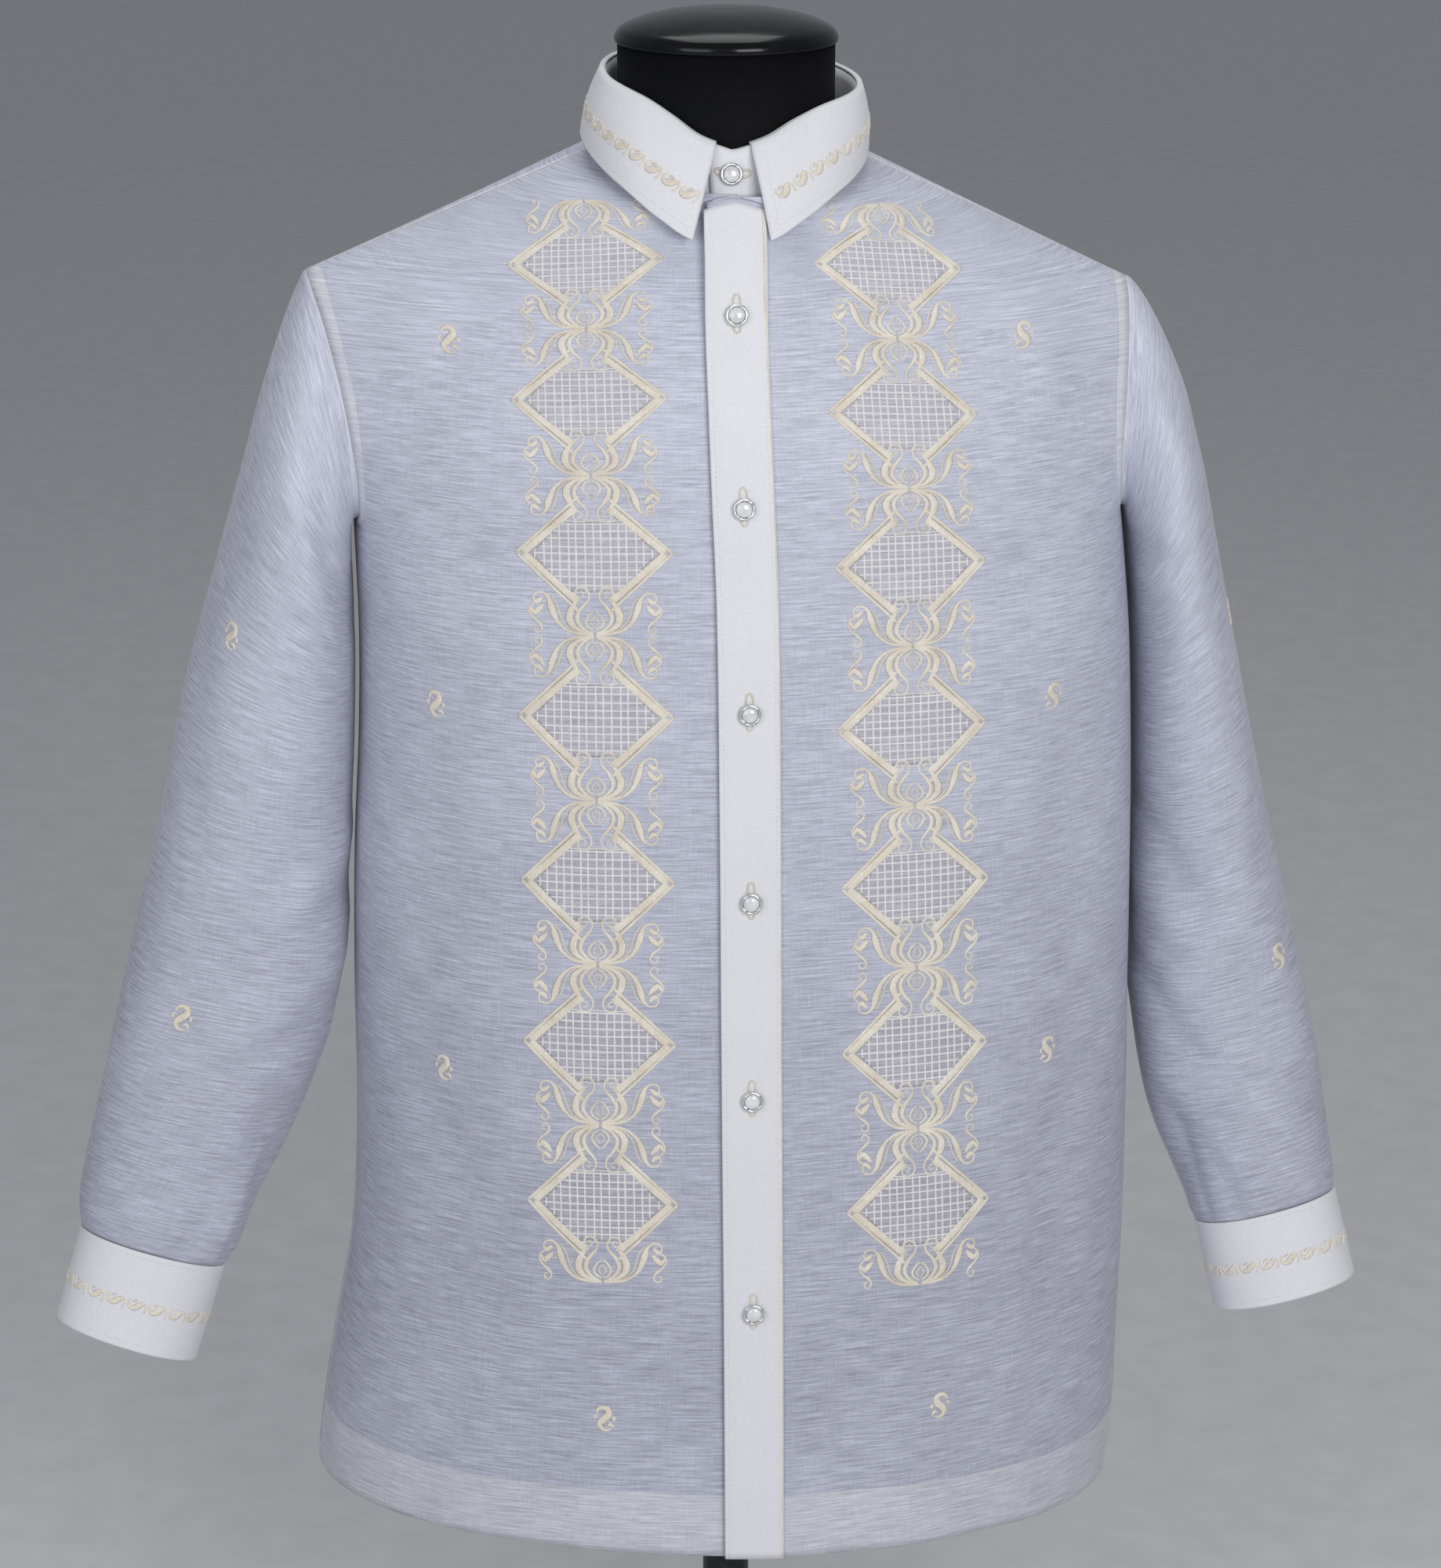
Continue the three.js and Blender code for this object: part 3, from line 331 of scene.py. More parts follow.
def wall_faces(quads, rims, lift):
    """Faces of a closed wall: the outer ones, the inner ones, and those along its rims."""
    faces = quads.tolist() + (quads[:, ::-1] + lift).tolist()
    for rim in rims:
        faces += [[b, a, a + lift, b + lift] for a, b in zip(rim[:-1].tolist(), rim[1:].tolist())]
    return faces


# Panels of the body, worked out from the tables
def neck_height(degrees):
    return NECK_MID - NECK_RISE * np.cos(degrees * DEG)


def inner_edge(face, side, v):
    """Centre line up to the neck, then the neckline, for rows v."""
    lap = LAP_RIGHT if side < 0 else LAP_LEFT
    depth = "front" if face < 0 else "back"
    share = FRONT_NECK if face < 0 else BACK_NECK
    neck_x = column(CENTRE, "x", NECK_MID) - side * lap
    first = math.asin(side * neck_x / NECK_HALF) / DEG if face < 0 else 180.0
    rise = (v - 1) / (1 - share)
    h = np.where(v <= 1, UNDERARM * v, mix(UNDERARM, neck_height(first), rise))
    x = column(CENTRE, "x", h) - side * lap if face < 0 else 0 * h
    y = face * column(CENTRE, depth, h)
    turn = mix(first, SEAM_TURN, np.clip((v - 2 + share) / share, 0, 1))
    round_it = rise > 1
    x = np.where(round_it, side * NECK_HALF * np.sin(turn * DEG), x)
    y = np.where(round_it, NECK_Y - NECK_DEEP * np.cos(turn * DEG), y)
    return x, y, np.where(round_it, neck_height(turn), h)


def outer_edge(face, side, v):
    """Side seam up to the underarm, then the armhole to the shoulder tip, for rows v."""
    name = side_name(side)
    turn = face * (2 - v)
    h = UNDERARM * v
    swing = face * VENT_SPREAD * np.maximum(0, 1 - h / VENT_TOP) ** 1.5
    low = v <= 1
    x = side * np.where(low, column(SIDES, name, h), column(ARMHOLE, name, turn))
    y = np.where(low, SIDE_Y + swing, column(ARMHOLE, "y", turn))
    wrap = np.where(low, 90, column(ARMHOLE, "wrap", turn))
    return x, y, np.where(low, h, column(ARMHOLE, "h", turn)), wrap


def panel_raw(face, side, q, v):
    """Points of a panel's outer face before its rows are eased."""
    ax, ay, ah = inner_edge(face, side, v)
    bx, by, bh, wrap = outer_edge(face, side, v)
    power = column(SIDES, "round", np.minimum(UNDERARM * v, UNDERARM))
    reach = np.sin(wrap * DEG) ** (2 / power)

    def curve(at):
        return np.maximum(0, 1 - (at * reach) ** power) ** (1 / power)

    x = mix(ax, bx, q)
    middle = column(CENTRE, "x", ah) if face < 0 else 0 * ah
    start = side * np.maximum(side * ax, side * middle)
    past = np.abs((x - start) / (bx - start))
    bow = (curve(past) - curve(1)) / (1 - curve(1))
    drop = mix(mix(1.7, 1.25, smooth(1.2, 1.5, v)), 1, smooth(1.6, 2, v))
    h = mix(ah, bh, past ** drop)
    y = mix(by, ay, bow) + face * SEAM / 2
    if face < 0 < side:
        raised = LAP_RAISE + NECK_RAISE * smooth(1.3, 1.55, v)
        y = y - raised * (1 - smooth(16, 50, x - middle))
    return settle(x, y, h)


def panel_base(face, side, q, v):
    """Points of a panel's outer face before its folds; its rows are eased into each other."""
    inside = smooth(0.14, 0.4, q) * smooth(1, 0.85, q)
    reach = ROW_EASE * inside * smooth(1, 1.3, v) * smooth(2, 1.8, v)
    middle = len(ROW_SHARES) // 2
    rows = (panel_raw(face, side, q, v + (i - middle) * reach) for i in range(len(ROW_SHARES)))
    return sum(share * row for share, row in zip(ROW_SHARES, rows))


def crease_depth(tab, first, second, a, b, scale=1.0):
    """Depth at places (a, b) of slightly wavy creases that fade past their two ends."""
    deep = np.zeros(np.broadcast(a, b).shape)
    for crease in rows_of(tab):
        start = np.array([crease[first + "0"] * scale, crease[second + "0"]])
        run = np.array([crease[first + "1"] * scale, crease[second + "1"]]) - start
        long = np.hypot(*run)
        along = ((a * scale - start[0]) * run[0] + (b - start[1]) * run[1]) / long ** 2
        off = ((a * scale - start[0]) * run[1] - (b - start[1]) * run[0]) / long
        off += 0.06 * long * np.sin(math.pi * along * 1.3 + long)
        fade = smooth(-0.15, 0.25, along) * smooth(1.15, 0.7, along)
        deep += crease["deep"] * np.exp(-((off / crease["wide"]) ** 2)) * fade
    return deep


def fold_depth(face, x, z):
    """Depth of the large folds and the creases at a place on a panel."""
    h = z - HEM_Z
    deep = crease_depth(CREASES[face], "x", "h", x, h)
    for fold in rows_of(BODY_FOLDS):
        if fold["face"] == face:
            across = np.exp(-(((x - fold["x"]) / fold["wide"]) ** 2))
            rise = smooth(fold["low"] - 60, fold["low"] + 60, h)
            deep += fold["deep"] * across * rise * smooth(fold["high"], fold["high"] - 90, h)
    return deep


def grid_normals(points, ring=False):
    """Normals of a grid of points; ring says that its columns close."""
    if ring:
        across = np.roll(points, -1, 1) - np.roll(points, 1, 1)
    else:
        across = np.gradient(points, axis=1)
    return unit(np.cross(across, np.gradient(points, axis=0)))


def even_columns(points, count, strip):
    """Columns spaced evenly across each row, with two lines set a strip in from the end."""
    made = []
    for row, run in zip(points, row_runs(points)):
        end = run[-1] - strip
        marks = np.concatenate([np.linspace(0, end, count), [end + 0.6, end + strip / 2, run[-1]]])
        made.append(along_line(marks, run, row))
    return np.array(made)


# Rows of the panels: 0 at the hem, 1 at the underarm and 2 at the shoulder
HEM_ROWS = 8
LOW_HEIGHTS = [np.linspace(0, HEM_BAND, HEM_ROWS + 1), np.linspace(HEM_BAND, 580, 118)[1:]]
ROWS = np.concatenate([np.concatenate(LOW_HEIGHTS) / UNDERARM, np.linspace(1, 2, 85)])[:, None]
RELAX_ROUNDS = 40
FRONT_COLUMNS = 74
BACK_COLUMNS = 60      # on each side of the centre
LEVEL_COLUMN = 30      # the cloth's height is measured up this column


def relax(points, share):
    """Smooths a grid where share is above 0, and leaves its edges.

    Each step toward the neighbours is followed by one away from them, so nothing shrinks.
    """
    for step in (0.5, -0.51) * RELAX_ROUNDS:
        around = points[:-2, 1:-1] + points[2:, 1:-1] + points[1:-1, :-2] + points[1:-1, 2:]
        away = around / 4 - points[1:-1, 1:-1]
        points[1:-1, 1:-1] += step * share[1:-1, 1:-1, None] * away
    return points


def panel_grid(face, side, count):
    """Outer face of a panel with its folds."""
    fine = np.sin(np.linspace(0, math.pi / 2, 240))[None, :] ** 0.9
    base = even_columns(panel_base(face, side, fine, ROWS), count, ALLOWANCE)
    sides = np.linspace(0, 1, base.shape[1])[None, :]
    base = relax(base, smooth(1.05, 1.2, ROWS) * smooth(0.1, 0.25, sides) * smooth(1, 0.94, sides))
    normals = grid_normals(base) * side * -face
    fade = smooth(1, 0.9, sides) * smooth(PLACKET_HALF + 2, 46, np.abs(base[..., 0]))
    if face > 0:
        fade = smooth(1, 0.9, sides) + 0 * base[..., 0]
    top = smooth(2, 1.9, ROWS)
    deep = fold_depth(face, base[..., 0], base[..., 2]) * fade * top
    return base - normals * deep[..., None]


def make_mesh(name, verts, faces, uvs=None, marks=None):
    """Smooth mesh object from points in millimetres; uvs are per point, in metres."""
    mesh = bpy.data.meshes.new(name)
    mesh.from_pydata((np.asarray(verts) * MM).tolist(), [], faces)
    mesh.validate()
    mesh.polygons.foreach_set("use_smooth", [True] * len(mesh.polygons))
    if marks is not None:
        mesh.polygons.foreach_set("material_index", marks)
    if uvs is not None:
        layer = mesh.uv_layers.new(name="cloth")
        corners = np.empty(len(mesh.loops), int)
        mesh.loops.foreach_get("vertex_index", corners)
        layer.data.foreach_set("uv", np.asarray(uvs)[corners].ravel())
    obj = bpy.data.objects.new(name, mesh)
    bpy.context.collection.objects.link(obj)
    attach(obj, "root")
    return obj


def meeting_rows(outer, half):
    """Rows whose two halves, on both sides of the column half, meet very closely."""
    return np.abs(outer[:, half] - outer[:, half - 1]).max(1) < 0.001


def cloth_shell(name, outer, normals, thick, uv, marks=None, ring=False, inner=None, half=0):
    """Closed thin wall on a grid of outer points, with a rim on its free edges.

    With half, the grid is two grids beside each other. Their first rows are sewn, as many as
    there are rows that meet. Above them, each half has a rim of its own.
    """
    rows, cols = outer.shape[:2]
    inner = outer - normals * thick if inner is None else inner
    verts = np.concatenate([outer.reshape(-1, 3), inner.reshape(-1, 3)])
    index = grid_index(rows, cols, ring)
    ends = [index[0], index[-1][::-1]]
    sides = [] if ring else [index[::-1, 0], index[:, -1]]
    gap = [half - 1] if half else []
    if half:
        sewn = np.count_nonzero(meeting_rows(outer, half))
        index[:sewn, half] = index[:sewn, half - 1]
        ends = [np.delete(index[0], half), index[-1, :half][::-1], index[-1, half:][::-1]]
        sides += [index[sewn - 1:, half - 1], index[sewn - 1:, half][::-1]]
    quads = np.delete(quads_of(index), gap, 1)
    marks = np.zeros(quads.shape[:2], int) if marks is None else np.delete(marks, gap, 1)
    faces = np.array(wall_faces(quads.reshape(-1, 4), ends + sides, rows * cols))
    kinds = np.full(len(faces), marks.max())
    kinds[:marks.size * 2] = np.tile(marks.ravel(), 2)
    used = np.zeros(len(verts), bool)
    used[faces] = True
    faces = (np.cumsum(used) - 1)[faces].tolist()
    flat = np.concatenate([uv.reshape(-1, 2)] * 2)
    return make_mesh(name, verts[used], faces, flat[used], kinds)


def arc_uv(points):
    """Cloth coordinates in metres: across the rows of a grid, and along them."""
    u = row_runs(points)
    u -= u.mean(1, keepdims=True)
    v = np.concatenate([[0], np.cumsum(steps_of(points).mean(1))])[:, None] + 0 * u
    return np.stack([u, v], -1) * MM


SHOULDER_RUN = 1.8     # cloth for each millimetre of height on the shoulders


def body_uv(points):
    """Cloth coordinates of a body panel, with its cross threads level."""
    u = arc_uv(points)[..., 0]
    line = points[:, LEVEL_COLUMN]
    run = run_of(line)
    level = points[..., 2]
    past = np.maximum(level - line[-1, 2], 0) * SHOULDER_RUN + np.minimum(level - line[0, 2], 0)
    return np.stack([u, (np.interp(level, line[:, 2], run) + past) * MM], -1)


# Camera in metres, at the photograph's angle
camera_data = bpy.data.cameras.new("camera")
camera = bpy.data.objects.new("camera", camera_data)
bpy.context.collection.objects.link(camera)
camera.location = (-0.221, -2.490, 1.400)
camera.rotation_euler = (72.7 * DEG, 0, -5 * DEG)
camera_data.sensor_width = 36
camera_data.lens = 103.6
bpy.context.scene.camera = camera


# Materials
class Nodes:
    """A material whose nodes are wired by short calls."""

    def __init__(self, name):
        self.material = bpy.data.materials.new(name)
        self.material.use_nodes = True
        self.tree = self.material.node_tree
        self.shader = self.tree.nodes["Principled BSDF"]

    def add(self, kind, inputs=None, **props):
        node = self.tree.nodes.new(kind)
        for key, value in props.items():
            setattr(node, key, value)
        for key, value in (inputs or {}).items():
            self.put(node, key, value)
        return node

    def put(self, node, key, value):
        if isinstance(value, bpy.types.NodeSocket):
            self.tree.links.new(value, node.inputs[key])
        else:
            node.inputs[key].default_value = value

    def set(self, **values):
        for key, value in values.items():
            self.put(self.shader, key.replace("_", " "), value)

    def uv(self, across, along):
        coords = self.add("ShaderNodeUVMap", uv_map="cloth")
        return self.add(
            "ShaderNodeMapping", {"Vector": coords.outputs[0], "Scale": (across, along, 1)}
        ).outputs[0]

    def noise(self, vector, scale=1.0, detail=3.0, rough=0.5):
        inputs = {"Vector": vector, "Scale": scale, "Detail": detail, "Roughness": rough}
        return self.add("ShaderNodeTexNoise", inputs).outputs[0]

    def place(self):
        return self.add("ShaderNodeTexCoord").outputs["Object"]

    def height(self):
        return self.add("ShaderNodeSeparateXYZ", {"Vector": self.place()}).outputs[2]

    def remap(self, value, low, high, start=0.3, end=0.7):
        inputs = {
            "Value": value, "From Min": start, "From Max": end, "To Min": low, "To Max": high,
        }
        return self.add("ShaderNodeMapRange", inputs).outputs[0]

    def blend(self, factor, a, b):
        node = self.add("ShaderNodeMix", data_type="RGBA")
        self.put(node, 0, factor)
        self.put(node, 6, a)
        self.put(node, 7, b)
        return node.outputs[2]

    def sum(self, a, b, share=0.5):
        scaled = self.add("ShaderNodeMath", operation="MULTIPLY")
        self.put(scaled, 0, b)
        self.put(scaled, 1, share)
        total = self.add("ShaderNodeMath", operation="ADD")
        self.put(total, 0, a)
        self.put(total, 1, scaled.outputs[0])
        return total.outputs[0]

    def bump(self, height, distance, strength=1.0):
        inputs = {"Height": height, "Distance": distance, "Strength": strength}
        self.set(Normal=self.add("ShaderNodeBump", inputs).outputs[0])


def rgb(r, g, b):
    return (r, g, b, 1)


def cloth_material(name, thin, thick, low, high, long=40, deep=0.4):
    """Slubbed cloth: cross threads of uneven thickness, with its thin and its thick places, and painted
    shade: the colour is lighter the higher the cloth stands and darker toward the hem.
    """
    made = Nodes(name)
    slub = made.noise(made.uv(long, 950), detail=4, rough=0.6)
    fine = made.noise(made.uv(150, 1900), detail=2)
    warp = made.noise(made.uv(1300, 60), detail=2)
    cloud = made.noise(made.uv(9, 14), detail=2)
    threads = made.sum(made.sum(slub, fine, 0.35), warp, 0.2)
    factor = made.remap(made.sum(threads, cloud, 0.3), 0, 0.6, 0.72, 1.12)
    # painted shade: the colour is pushed lighter with height above the floor, so the cloth is darker toward
    # the hem
    factor = made.sum(factor, made.remap(made.height(), 0, 0.4, 0.38, 0.9), 1)
    made.set(Base_Color=made.blend(factor, thin, thick), Roughness=0.62)
    made.set(Sheen_Weight=0.25, Sheen_Roughness=0.4)
    if low < 1:
        made.set(Alpha=made.remap(threads, low, high, 0.6, 0.95))
    made.bump(threads, 0.0005, deep)
    return made.material


SHEER = cloth_material("sheer_cloth", rgb(0.39, 0.4, 0.49), rgb(0.79, 0.81, 0.93), 0.78, 0.94)
DOUBLE = cloth_material("doubled_cloth", rgb(0.47, 0.48, 0.54), rgb(0.86, 0.87, 0.93), 0.92, 1)
OPAQUE = cloth_material(
    "opaque_cloth", rgb(0.74, 0.74, 0.775), rgb(0.86, 0.855, 0.885), 1, 1, 420, 0.25
)


def thread_material(name, dark, light, rough):
    """Satin stitches: fine threads that run across the stroke, unevenly lit."""
    made = Nodes(name)
    lay = made.noise(made.uv(1900, 260), detail=2)
    patch = made.noise(made.place(), 90, 3)
    factor = made.remap(made.sum(lay, patch, 0.8), 0, 1, 0.62, 1.18)
    made.set(Base_Color=made.blend(factor, dark, light), Roughness=rough)
    made.set(Sheen_Weight=0.3, Sheen_Roughness=0.35)
    made.bump(lay, 0.0004, 0.7)
    return made.material


SATIN = thread_material("satin_thread", rgb(0.69, 0.61, 0.49), rgb(0.93, 0.87, 0.77), 0.45)
WHITE_THREAD = thread_material("white_thread", rgb(0.7, 0.7, 0.72), rgb(0.93, 0.92, 0.9), 0.5)
NET_THREAD = thread_material("net_thread", rgb(0.76, 0.75, 0.77), rgb(0.93, 0.91, 0.9), 0.5)
DRAWN = cloth_material("drawn_net", rgb(0.42, 0.4, 0.46), rgb(0.72, 0.695, 0.75), 0.72, 0.9)


def plain_material(name, dark, light, scale, rough, bump, metal=0.0, coat=0.0, shine=0.5):
    made = Nodes(name)
    grain = made.noise(made.place(), scale, 4)
    made.set(Base_Color=made.blend(made.remap(grain, 0, 1), dark, light))
    made.set(Roughness=made.remap(grain, rough * 0.85, rough * 1.15))
    made.set(Metallic=metal, Coat_Weight=coat, Coat_Roughness=0.08, Specular_IOR_Level=shine)
    made.bump(grain, bump)
    return made.material


FLOCK = plain_material(
    "form_cloth", rgb(0.002, 0.002, 0.0025), rgb(0.006, 0.006, 0.007), 900, 0.7, 0.0003, 0, 0, 0.12
)
GLOSS = plain_material(
    "form_gloss", rgb(0.002, 0.002, 0.003), rgb(0.005, 0.005, 0.006), 60, 0.2, 0.00005, 0, 0.15, 0.2
)
STEEL = plain_material(
    "stand_metal", rgb(0.02, 0.02, 0.022), rgb(0.05, 0.05, 0.054), 700, 0.42, 0.0001, 0.6
)
CHROME = plain_material(
    "button_rim", rgb(0.7, 0.7, 0.72), rgb(0.86, 0.86, 0.87), 300, 0.28, 0.00002, 1
)
PEARL = plain_material(
    "pearl", rgb(0.66, 0.66, 0.68), rgb(0.86, 0.86, 0.85), 160, 0.14, 0.00003, 0, 0.8
)


def dress(obj, slot, *materials):
    for material in materials:
        obj.data.materials.append(material)
    return obj


# Body panels
def panel_marks(outer, both_ends):
    """Which faces are doubled cloth: the hem, the strips beside the seams and the shoulder."""
    marks = np.zeros((len(outer) - 1, outer.shape[1] - 1), int)
    marks[:HEM_ROWS] = 1
    marks[-1] = 1
    marks[:, -2:] = 1
    if both_ends:
        marks[:, :2] = 1
    return marks


def make_front(side):
    name = "front_" + side_name(side)
    outer = panel_grid(-1, side, FRONT_COLUMNS)
    normals = grid_normals(outer) * side
    marks = panel_marks(outer, False)
    uv = body_uv(outer)
    if side < 0:
        outer, normals, uv = outer[:, ::-1], normals[:, ::-1], uv[:, ::-1]
        marks = marks[:, ::-1]
    obj = cloth_shell(name + "_cloth", outer, normals, CLOTH, uv, marks)
    dress(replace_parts(obj, name), "sheer_cloth", SHEER, DOUBLE)
    return obj, outer, normals


def make_back():
    right = panel_grid(1, -1, BACK_COLUMNS)
    left = panel_grid(1, 1, BACK_COLUMNS)
    half = left.shape[1]
    outer = np.concatenate([left[:, ::-1], right], 1)
    normals = np.concatenate([grid_normals(left[:, ::-1]), grid_normals(right)], 1)
    meeting = meeting_rows(outer, half)
    middle = unit(normals[meeting, half - 1] + normals[meeting, half])
    normals[meeting, half - 1] = middle
    normals[meeting, half] = middle
    uv = body_uv(outer)
    obj = cloth_shell("back_cloth", outer, normals, CLOTH, uv, panel_marks(outer, True), half=half)
    dress(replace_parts(obj, "back"), "sheer_cloth", SHEER, DOUBLE)
    return obj, outer, normals


front_right, right_grid, right_normals = make_front(-1)
front_left, left_grid, left_normals = make_front(1)
back, back_grid, back_normals = make_back()


# Sleeves and cuffs
SLEEVE_ROUND = 2.15    # power of the sleeves' round section
ARMHOLE_IN = 0.35      # the sleeve starts this far inside the armhole's edge


def beside_body(side, h):
    """Place of a sleeve's inner side that clears the body."""
    return column(SIDES, side_name(side), np.clip(h, 0, UNDERARM)) + SLEEVE_CLEAR


def ring_point(tab, side, degrees, s, out):
    """Points of a tube: angle 0 at the outer side, 90 in front, 180 at the inner side."""
    name = side_name(side)
    outer = column(tab, name + "_outer", s)
    top = column(tab, name + "_top", s)
    low = column(tab, name + "_low", s)
    inner = np.maximum(column(tab, name + "_inner", s), beside_body(side, low))
    across = outer - inner
    rise = top - low
    long = np.hypot(across, rise)
    front = column(tab, "front", s)
    rear = column(tab, "back", s)
    cos = np.cos(degrees * DEG)
    sin = np.sin(degrees * DEG)
    power = 2 / SLEEVE_ROUND
    go = np.sign(cos) * np.abs(cos) ** power * (long / 2 + out)
    forward = np.sign(sin) * np.abs(sin) ** power * ((rear - front) / 2 + out)
    pitch = column(tab, "pitch", s) * DEG
    x = (outer + inner) / 2 + across / long * go
    y = (rear + front) / 2 - forward * np.cos(pitch)
    h = (top + low) / 2 + rise / long * go + forward * np.sin(pitch)
    return np.stack(np.broadcast_arrays(side * x, y, HEM_Z + h), -1)


def sleeve_fold(side, degrees, s):
    """Depth of a sleeve's folds and creases."""
    deep = crease_depth(SLEEVE_CREASES[side_name(side)], "a", "s", degrees, s, SLEEVE_DEGREE)
    for fold in rows_of(SLEEVE_FOLDS):
        if fold["side"] == side:
            along = (s - fold["at"]) / fold["reach"]
            turn = degrees - fold["angle"] - fold["slant"] * along
            across = np.exp(-((turn / fold["wide"]) ** 2))
            deep = deep + fold["deep"] * across * np.maximum(0, 1 - along ** 2) ** 2
    return deep


def armhole_ring(side, degrees):
    """The sleeve's first ring: the armhole's edge by angle, drawn in a little."""
    front = left_grid if side > 0 else right_grid[:, ::-1]
    rear = back_grid[:, 0] if side > 0 else back_grid[:, -1]
    upper = ROWS[:, 0] >= 1
    v = 2 - np.where(degrees <= 180, degrees, 360 - degrees) / 180
    edges = [along_line(v, ROWS[upper, 0], edge[upper]) for edge in (front[:, -1], rear)]
    ring = np.where((degrees <= 180)[:, None], *edges)
    middle = ring.mean(0)
    ring = ring + unit(middle - ring) * ARMHOLE_IN
    ring[:, 2] += 0.9 * np.exp(-(((degrees - 180) / 30) ** 2))
    return ring


UNDERARM_SEAM = slice(58, 60)   # the sleeve's columns that are doubled along its seam


def make_sleeve(side):
    name = "sleeve_" + side_name(side)
    degrees = np.linspace(0, 360, 121)[:-1]
    s = np.concatenate([np.linspace(0, 0.16, 24), np.linspace(0.16, 1, 104)[1:]])[:, None]
    fade = smooth(0, 0.05, s) * smooth(1, 0.985, s)
    out = -sleeve_fold(side, degrees[None, :], s) * fade
    hanging = ring_point(SLEEVES, side, degrees[None, :], s, out)
    seam = armhole_ring(side, degrees)[None]
    ease = np.array([side * 1.6, 0, 0]) * smooth(0, 0.035, s)[..., None]
    share = smooth(0, 0.16, s)[..., None]
    outer = mix(seam + ease, hanging, share)
    normals = grid_normals(outer, True) * side
    if side > 0:
        outer, normals = outer[:, ::-1], normals[:, ::-1]
    marks = np.zeros((len(outer) - 1, outer.shape[1]), int)
    marks[:2] = 1
    marks[:, UNDERARM_SEAM] = 1
    uv = arc_uv(outer)
    obj = cloth_shell(name + "_cloth", outer, normals, CLOTH, uv, marks, ring=True)
    dress(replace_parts(obj, name), "sheer_cloth", SHEER, DOUBLE)
    return obj, outer


sleeve_right, sleeve_right_grid = make_sleeve(-1)
sleeve_left, sleeve_left_grid = make_sleeve(1)

CUFF_LAP_AT = 262      # angle of the lap's middle round the cuff
CUFF_LAP = 34          # degrees that the cuff's ends overlap


def lap_raise(travel, full):
    """How far a band's end is raised where it lies over its start."""
    return (BAND + SEAM) * smooth(full - 18, full - 4, travel)


def cuff_point(side, degrees, s, out):
    return ring_point(CUFFS, side, np.mod(degrees, 360), s, out)


def soften(outer, inner, rows):
    """Rounds a band's free edges by drawing its two sides' rows toward each other."""
    for row in rows:
        middle = (outer[row] + inner[row]) / 2
        outer[row] = mix(outer[row], middle, 0.4)
        inner[row] = mix(inner[row], middle, 0.4)


def make_cuff(side):
    name = "cuff_" + side_name(side)
    s = np.concatenate([[0, 0.012, 0.03], np.linspace(0.06, 0.94, 10), [0.97, 0.988, 1]])[:, None]
    travel = np.linspace(0, 360 + CUFF_LAP, 170)[None, :]
    degrees = CUFF_LAP_AT - CUFF_LAP / 2 + travel
    raised = lap_raise(travel, 360)
    outer = cuff_point(side, degrees, s, raised + 0 * s)
    inner = cuff_point(side, degrees, s, raised - BAND + 0 * s)
    soften(outer, inner, (0, -1))
    if side > 0:
        outer, inner = outer[:, ::-1], inner[:, ::-1]
    obj = cloth_shell(name + "_cloth", outer, None, 0, arc_uv(outer), inner=inner)
    dress(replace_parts(obj, name), "opaque_cloth", OPAQUE)
    return obj, outer[::-1]


cuff_right, cuff_right_grid = make_cuff(-1)
cuff_left, cuff_left_grid = make_cuff(1)

# Collar
STAND_DROP = 3         # the stand's lower edge below the neckline
STAND_IN = 2.8         # and inside it
STAND_DEEP = 65.5      # half the depth of the stand
STAND_LEAN = 3.4       # its lean inward at the front and back
STAND_FLARE = 2.6      # its lean outward at the sides
STAND_SHIFT = (-2, 2.5)  # its sideways shift at the top, at the front and elsewhere
STAND_UNDER = 9        # degrees that its lower end runs past the centre
STAND_OVER = 12        # degrees that its upper end runs past the centre
LEAF_WIDE = 80         # half the width of the leaf's edge
LEAF_FRONT = 91.4      # its depth in front
LEAF_BACK = 77         # its depth behind
LEAF_BULGE = 1.8       # its curve outward between fold and edge
LEAF_SHIFT = (-5, -1.5)  # its sideways shift, at the front and elsewhere


def collar_height(name, turn):
    return column(COLLAR, name, np.abs(turn))


def wrap_turn(degrees):
    return np.mod(degrees + 180, 360) - 180


def stand_lean(turn):
    """The stand leans in at the front and back, and out at the sides."""
    return mix(STAND_LEAN, -STAND_FLARE, smooth(30, 80, turn) * smooth(175, 120, turn))


def stand_point(degrees, up, out):
    turn = wrap_turn(degrees)
    h = mix(neck_height(turn) - STAND_DROP, collar_height("fold", turn), up)
    trim = STAND_IN + stand_lean(np.abs(turn)) * up - out
    shift = mix(*STAND_SHIFT, smooth(10, 70, np.abs(turn))) * up
    x = (NECK_HALF - trim) * np.sin(turn * DEG) + shift
    y = mix(NECK_Y, NECK_Y + 2, up) - (STAND_DEEP + STAND_IN - trim) * np.cos(turn * DEG)
    return settle(x, y, h)


def make_stand():
    full = 360 + STAND_UNDER + STAND_OVER
    travel = np.linspace(0, full, 160)[None, :]
    up = np.linspace(0, 1, 9)[:, None]
    raised = lap_raise(travel, 360 - 4)
    outer = stand_point(STAND_UNDER - travel, up, raised)
    inner = stand_point(STAND_UNDER - travel, up, raised - BAND)
    outer, inner = outer[:, ::-1], inner[:, ::-1]
    obj = cloth_shell("collar_stand_cloth", outer, None, 0, arc_uv(outer), inner=inner)
    return dress(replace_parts(obj, "collar_stand"), "opaque_cloth", OPAQUE)


def leaf_clear(turn):
    """Space between the stand and the leaf; it is wider in front, for the button."""
    return 0.4 + 2.4 * (1 - smooth(14, 36, np.abs(turn)))


